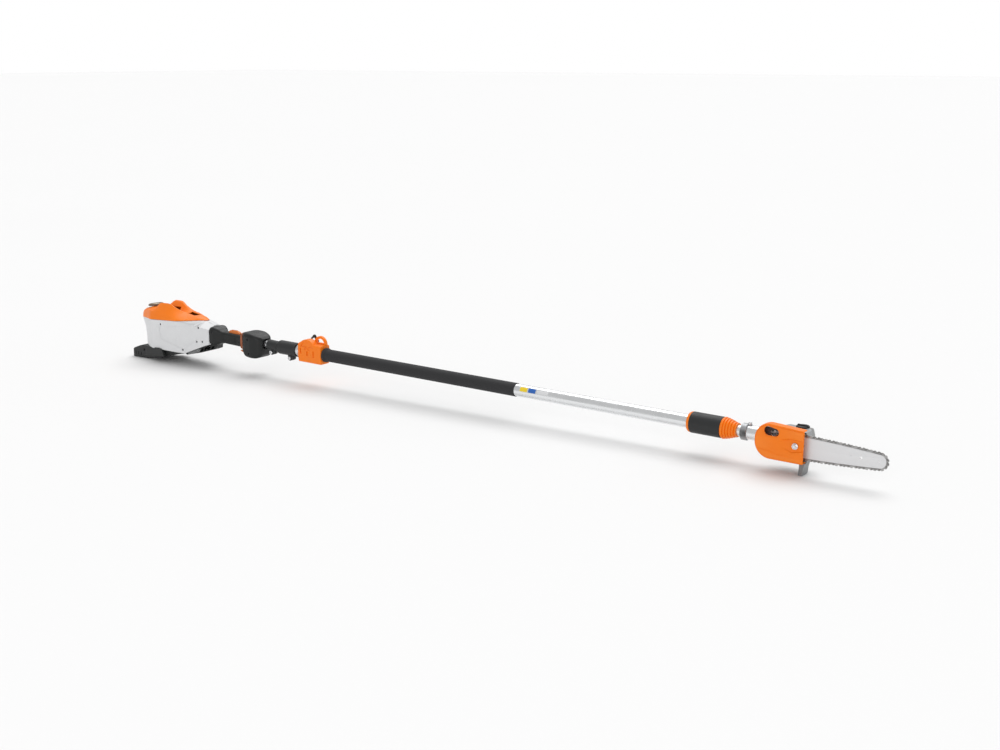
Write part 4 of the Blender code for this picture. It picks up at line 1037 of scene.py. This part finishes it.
def guide_bar():
    rail = [point for point in bar_outline(0) if point[0] > BAR_TAIL + 21]
    tail = [(BAR_TAIL + 20, BAR_Z + 26.9), (BAR_TAIL, BAR_Z + 17)]
    outline = [*reversed(tail), *rail, *((x, 2 * BAR_Z - z) for x, z in tail)]
    bar = prism("guide_bar_plate", outline, BAR_Y - 2, BAR_Y + 2)
    round_edges(bar, 0.35, 2, 50)
    slot = prism(
        "bar_slot",
        [*arc(STUD, 4.6, 90, 270, 13), *arc((STUD[0] + 12, STUD[1]), 4.6, -90, 90, 13)],
        BAR_Y - 7,
        BAR_Y + 7,
    )
    holes = [
        rod("bar_hole", "Y", -32, -18, 3.2, (1876.5, 0, -5), 32),
        rod("bar_dot", "Y", -32, -18, 1.0, (1851, 0, -3), 16),
    ]
    nose_slot = rod("nose_slot", "Y", BAR_Y - 0.9, BAR_Y + 0.9, NOSE_R + 6, (NOSE_X, 0, BAR_Z))
    axle = rod("nose_axle", "Y", BAR_Y - 1.5, BAR_Y + 1.5, 3.5, (NOSE_X, 0, BAR_Z))
    cut(bar, slot, *holes, nose_slot)
    join(bar, axle)
    finish(bar, "bar", BAR_STEEL, ["guide_bar"])
    rivets = []
    for side in (-1, 1):
        for x, z in ((1922, -6), (1906, 0.5), (1906, -12.5)):
            radius = 2.6 if x > 1910 else 1.5
            low, high = side * 1.9 - 0.2, side * 1.9 + 0.2
            rivets.append(rod("rivet", "Y", low, high, radius, (x, BAR_Y, z), 24, 0.05))
    finish(merged("bar_rivets", rivets), "bar", BRIGHT_STEEL)


def rivet_line(grow):
    """The closed line on which the chain's rivets lie, as a function from distance along it to a point, with
    the line's length.
    """
    rail = bar_outline(grow)
    wrap = arc((HEAD_X, 0), 18.6 + grow, 262, 98, 31)
    points = np.array([*rail, *wrap])
    steps = np.linalg.norm(np.roll(points, -1, axis=0) - points, axis=1)
    total = steps.sum()
    reach = np.concatenate([[0], np.cumsum(steps)])
    closed = np.vstack([points, points[:1]])

    def at(distance):
        distance %= total
        return np.array([np.interp(distance, reach, closed[:, k]) for k in (0, 1)])

    return at, total


RIVET_HEIGHT, PITCH_PAIR = 2.75, 19.05
DRIVE_LINK = [
    (-6.9, -0.4), (-6.2, 1.7), (-4.4, 2.3), (-2.0, 2.0), (0.6, 3.6), (3.2, 3.9), (5.0, 2.4), (6.9, -0.4),
    (5.6, -2.1), (2.6, -2.3), (-2.6, -2.3), (-5.6, -2.1),
]
TIE_STRAP = [
    (-6.8, 0.0), (-6.1, 1.8), (-4.6, 2.3), (-2.2, 1.9), (0, 1.3), (2.2, 1.9), (4.6, 2.3), (6.1, 1.8),
    (6.8, 0.0), (6.1, -1.9), (0, -2.2), (-6.1, -1.9),
]
CUTTER = [
    (-7.1, -0.6), (-7.3, 1.4), (-6.9, 3.2), (-6.2, 3.9), (-5.3, 3.8), (-4.6, 2.8), (-3.7, 1.5), (-1.6, 1.0),
    (-0.2, 1.5), (0.6, 2.9), (0.9, 4.05), (6.7, 3.6), (7.2, 1.0), (6.6, -1.9), (0, -2.2), (-6.3, -2.0),
]


def saw_chain():
    """Links, cutters and rivets laid one by one round the bar, outside on the left of travel."""
    at, total = rivet_line(RIVET_HEIGHT)
    pairs = round(total / PITCH_PAIR)
    pitch = total / (2 * pairs)
    links, cutters = bmesh.new(), bmesh.new()

    def plate(frame_of, outline, low, high, bm=links):
        origin, along, outward = frame_of
        rings = []
        for y in (low, high):
            loop = []
            for s, h in outline:
                p = origin + along * s + outward * h
                loop.append(bm.verts.new((p[0], BAR_Y + y, p[1])))
            rings.append(loop)
        bm.faces.new(rings[0])
        bm.faces.new(reversed(rings[1]))
        for i in range(len(outline)):
            j = (i + 1) % len(outline)
            bm.faces.new((rings[0][i], rings[0][j], rings[1][j], rings[1][i]))

    for i in range(2 * pairs):
        start, end = at(i * pitch), at((i + 1) * pitch)
        along = (end - start) / np.linalg.norm(end - start)
        outward = np.array([-along[1], along[0]])
        middle = (start + end) / 2
        here = (middle, along, outward)
        if i % 2 == 0:
            plate(here, DRIVE_LINK, -0.7, 0.7)
        else:
            cutter_side = -1 if i % 4 == 1 else 1
            for side in (-1, 1):
                low, high = sorted((side * 0.85, side * 1.9))
                if side == cutter_side:
                    plate(here, CUTTER, low, high, cutters)
                else:
                    plate(here, TIE_STRAP, low, high)
            low, high = sorted((cutter_side * 2.0, -cutter_side * 1.0))
            plate(here, [(0.9, 3.2), (0.9, 4.1), (6.7, 3.65), (6.7, 2.8)], low, high, cutters)
        circle = arc((0, 0), 1.45, 0, 324, 10)
        plate((start, np.array([1.0, 0.0]), np.array([0.0, 1.0])), circle, -2.35, 2.35, cutters)
    finish(from_bmesh("saw_chain_links", links), "inner_pole", CHAIN_STEEL, ["saw_chain"])
    finish(from_bmesh("saw_chain_cutters", cutters), "inner_pole", CUTTER_STEEL)


def hook():
    outline = [
        (1722, -42.3), (1722, -60), (1720.6, -72), (1720, -78.8), (1731, -78.95), (1732, -70), (1733, -60),
        (1735.5, -50), (1738.5, -42.3),
    ]
    arm = prism("branch_hook_arm", outline, -30, 6)
    cut(arm, block("hook_cover_room", (1700, -60, -46.3), (1760, -21, -30)))
    hollow = [(1724, -50), (1723, -60), (1722.4, -73), (1729, -73), (1730, -60), (1732.5, -50)]
    pocket = prism("hook_pocket", hollow, -32, -28.8)
    cut(arm, pocket)
    round_edges(arm, 0.9, 3, 30)
    finish(arm, "inner_pole", HOOK_GREY, ["branch_hook"])


# ---- carried-over CAD pieces


def paint_node(name, paint):
    """A better finish on a CAD node whose shape is right, with its edges eased."""
    thing = NODES[name]
    thing.data.materials.clear()
    thing.data.materials.append(paint)
    weld = thing.modifiers.new("weld", "WELD")
    weld.merge_threshold = 0.000005
    flat = thing.modifiers.new("flat", "DECIMATE")
    flat.decimate_type = "DISSOLVE"
    flat.angle_limit = math.radians(0.6)
    ease = thing.modifiers.new("ease", "BEVEL")
    ease.width = 0.0003
    ease.segments = 2
    ease.limit_method = "ANGLE"
    ease.angle_limit = math.radians(40)
    even = thing.modifiers.new("even", "WEIGHTED_NORMAL")
    even.keep_sharp = True


CARRIED = (
    (BLACK, "battery_socket trigger_switch outer_tube_bush inner_tube_bush cooling_fan"),
    (BOARD, "controller_board"),
    (COPPER, "motor_stator"),
    (CASTING, "motor_carrier tube_mount"),
    (BRIGHT_STEEL, "motor_bearing rear_drive_shaft motor_rotor hex_drive_rod"),
    (BRIGHT_STEEL, "drive_sprocket tensioner_screw"),
    (DARK_STEEL, "bevel_pinion bevel_gear nose_sprocket"),
)


# ---- studio

CAMERA_PLACE = (2.4035, -3.1335, 1.0174)
CAMERA_TURN = (1.3427, 0.0, 0.6157)


def studio():
    scene = bpy.context.scene
    scene.view_settings.view_transform = "Standard"
    world = bpy.data.worlds.new("studio")
    scene.world = world
    world.use_nodes = True
    tree = world.node_tree
    background = tree.nodes["Background"]
    seen = node(tree, "ShaderNodeLightPath")
    strength = ranged(tree, seen.outputs["Is Camera Ray"], 0, 1, 0.60, 1.0)
    tree.links.new(strength, background.inputs["Strength"])
    background.inputs["Color"].default_value = (1, 1, 1, 1)
    bm = bmesh.new()
    bmesh.ops.create_grid(bm, x_segments=2, y_segments=2, size=60)
    floor = from_bmesh("studio_floor", bm)
    floor.data.transform(Matrix.Translation((0, 0, -0.0003)))
    paint = surface("floor_paint", (0.81, 0.81, 0.81), 0.8, vary=0.004, patch=0.5, depth=0.0)
    paint.node_tree.nodes["Principled BSDF"].inputs["Specular IOR Level"].default_value = 0.1
    floor.data.materials.append(paint)
    lights = [
        ("key", (-0.5, 1.6, 3.2), 1.95, 55),
        ("fill", (1.6, -3.4, 1.1), 0.6, 40),
    ]
    for name, place, power, spread in lights:
        data = bpy.data.lights.new(name, "SUN")
        data.energy = power
        data.angle = math.radians(spread)
        lamp = link(name, data)
        lamp.location = place
        lamp.rotation_mode = "QUATERNION"
        lamp.rotation_quaternion = (-Vector(place)).to_track_quat("-Z", "Y")
    data = bpy.data.cameras.new("camera")
    data.lens = 50.0
    data.sensor_width = 36.0
    data.clip_end = 200.0
    camera = link("camera", data)
    camera.location = CAMERA_PLACE
    camera.rotation_euler = CAMERA_TURN
    scene.camera = camera


housing()
cover()
battery()
panel()
foot()
intake()
handle()
controls()
guard()
coupling()
bracket()
pole()
clamp()
saw_cover()
gearbox()
guide_bar()
saw_chain()
hook()
for finish_of, names in CARRIED:
    for carried in names.split():
        paint_node(carried, finish_of)
studio()
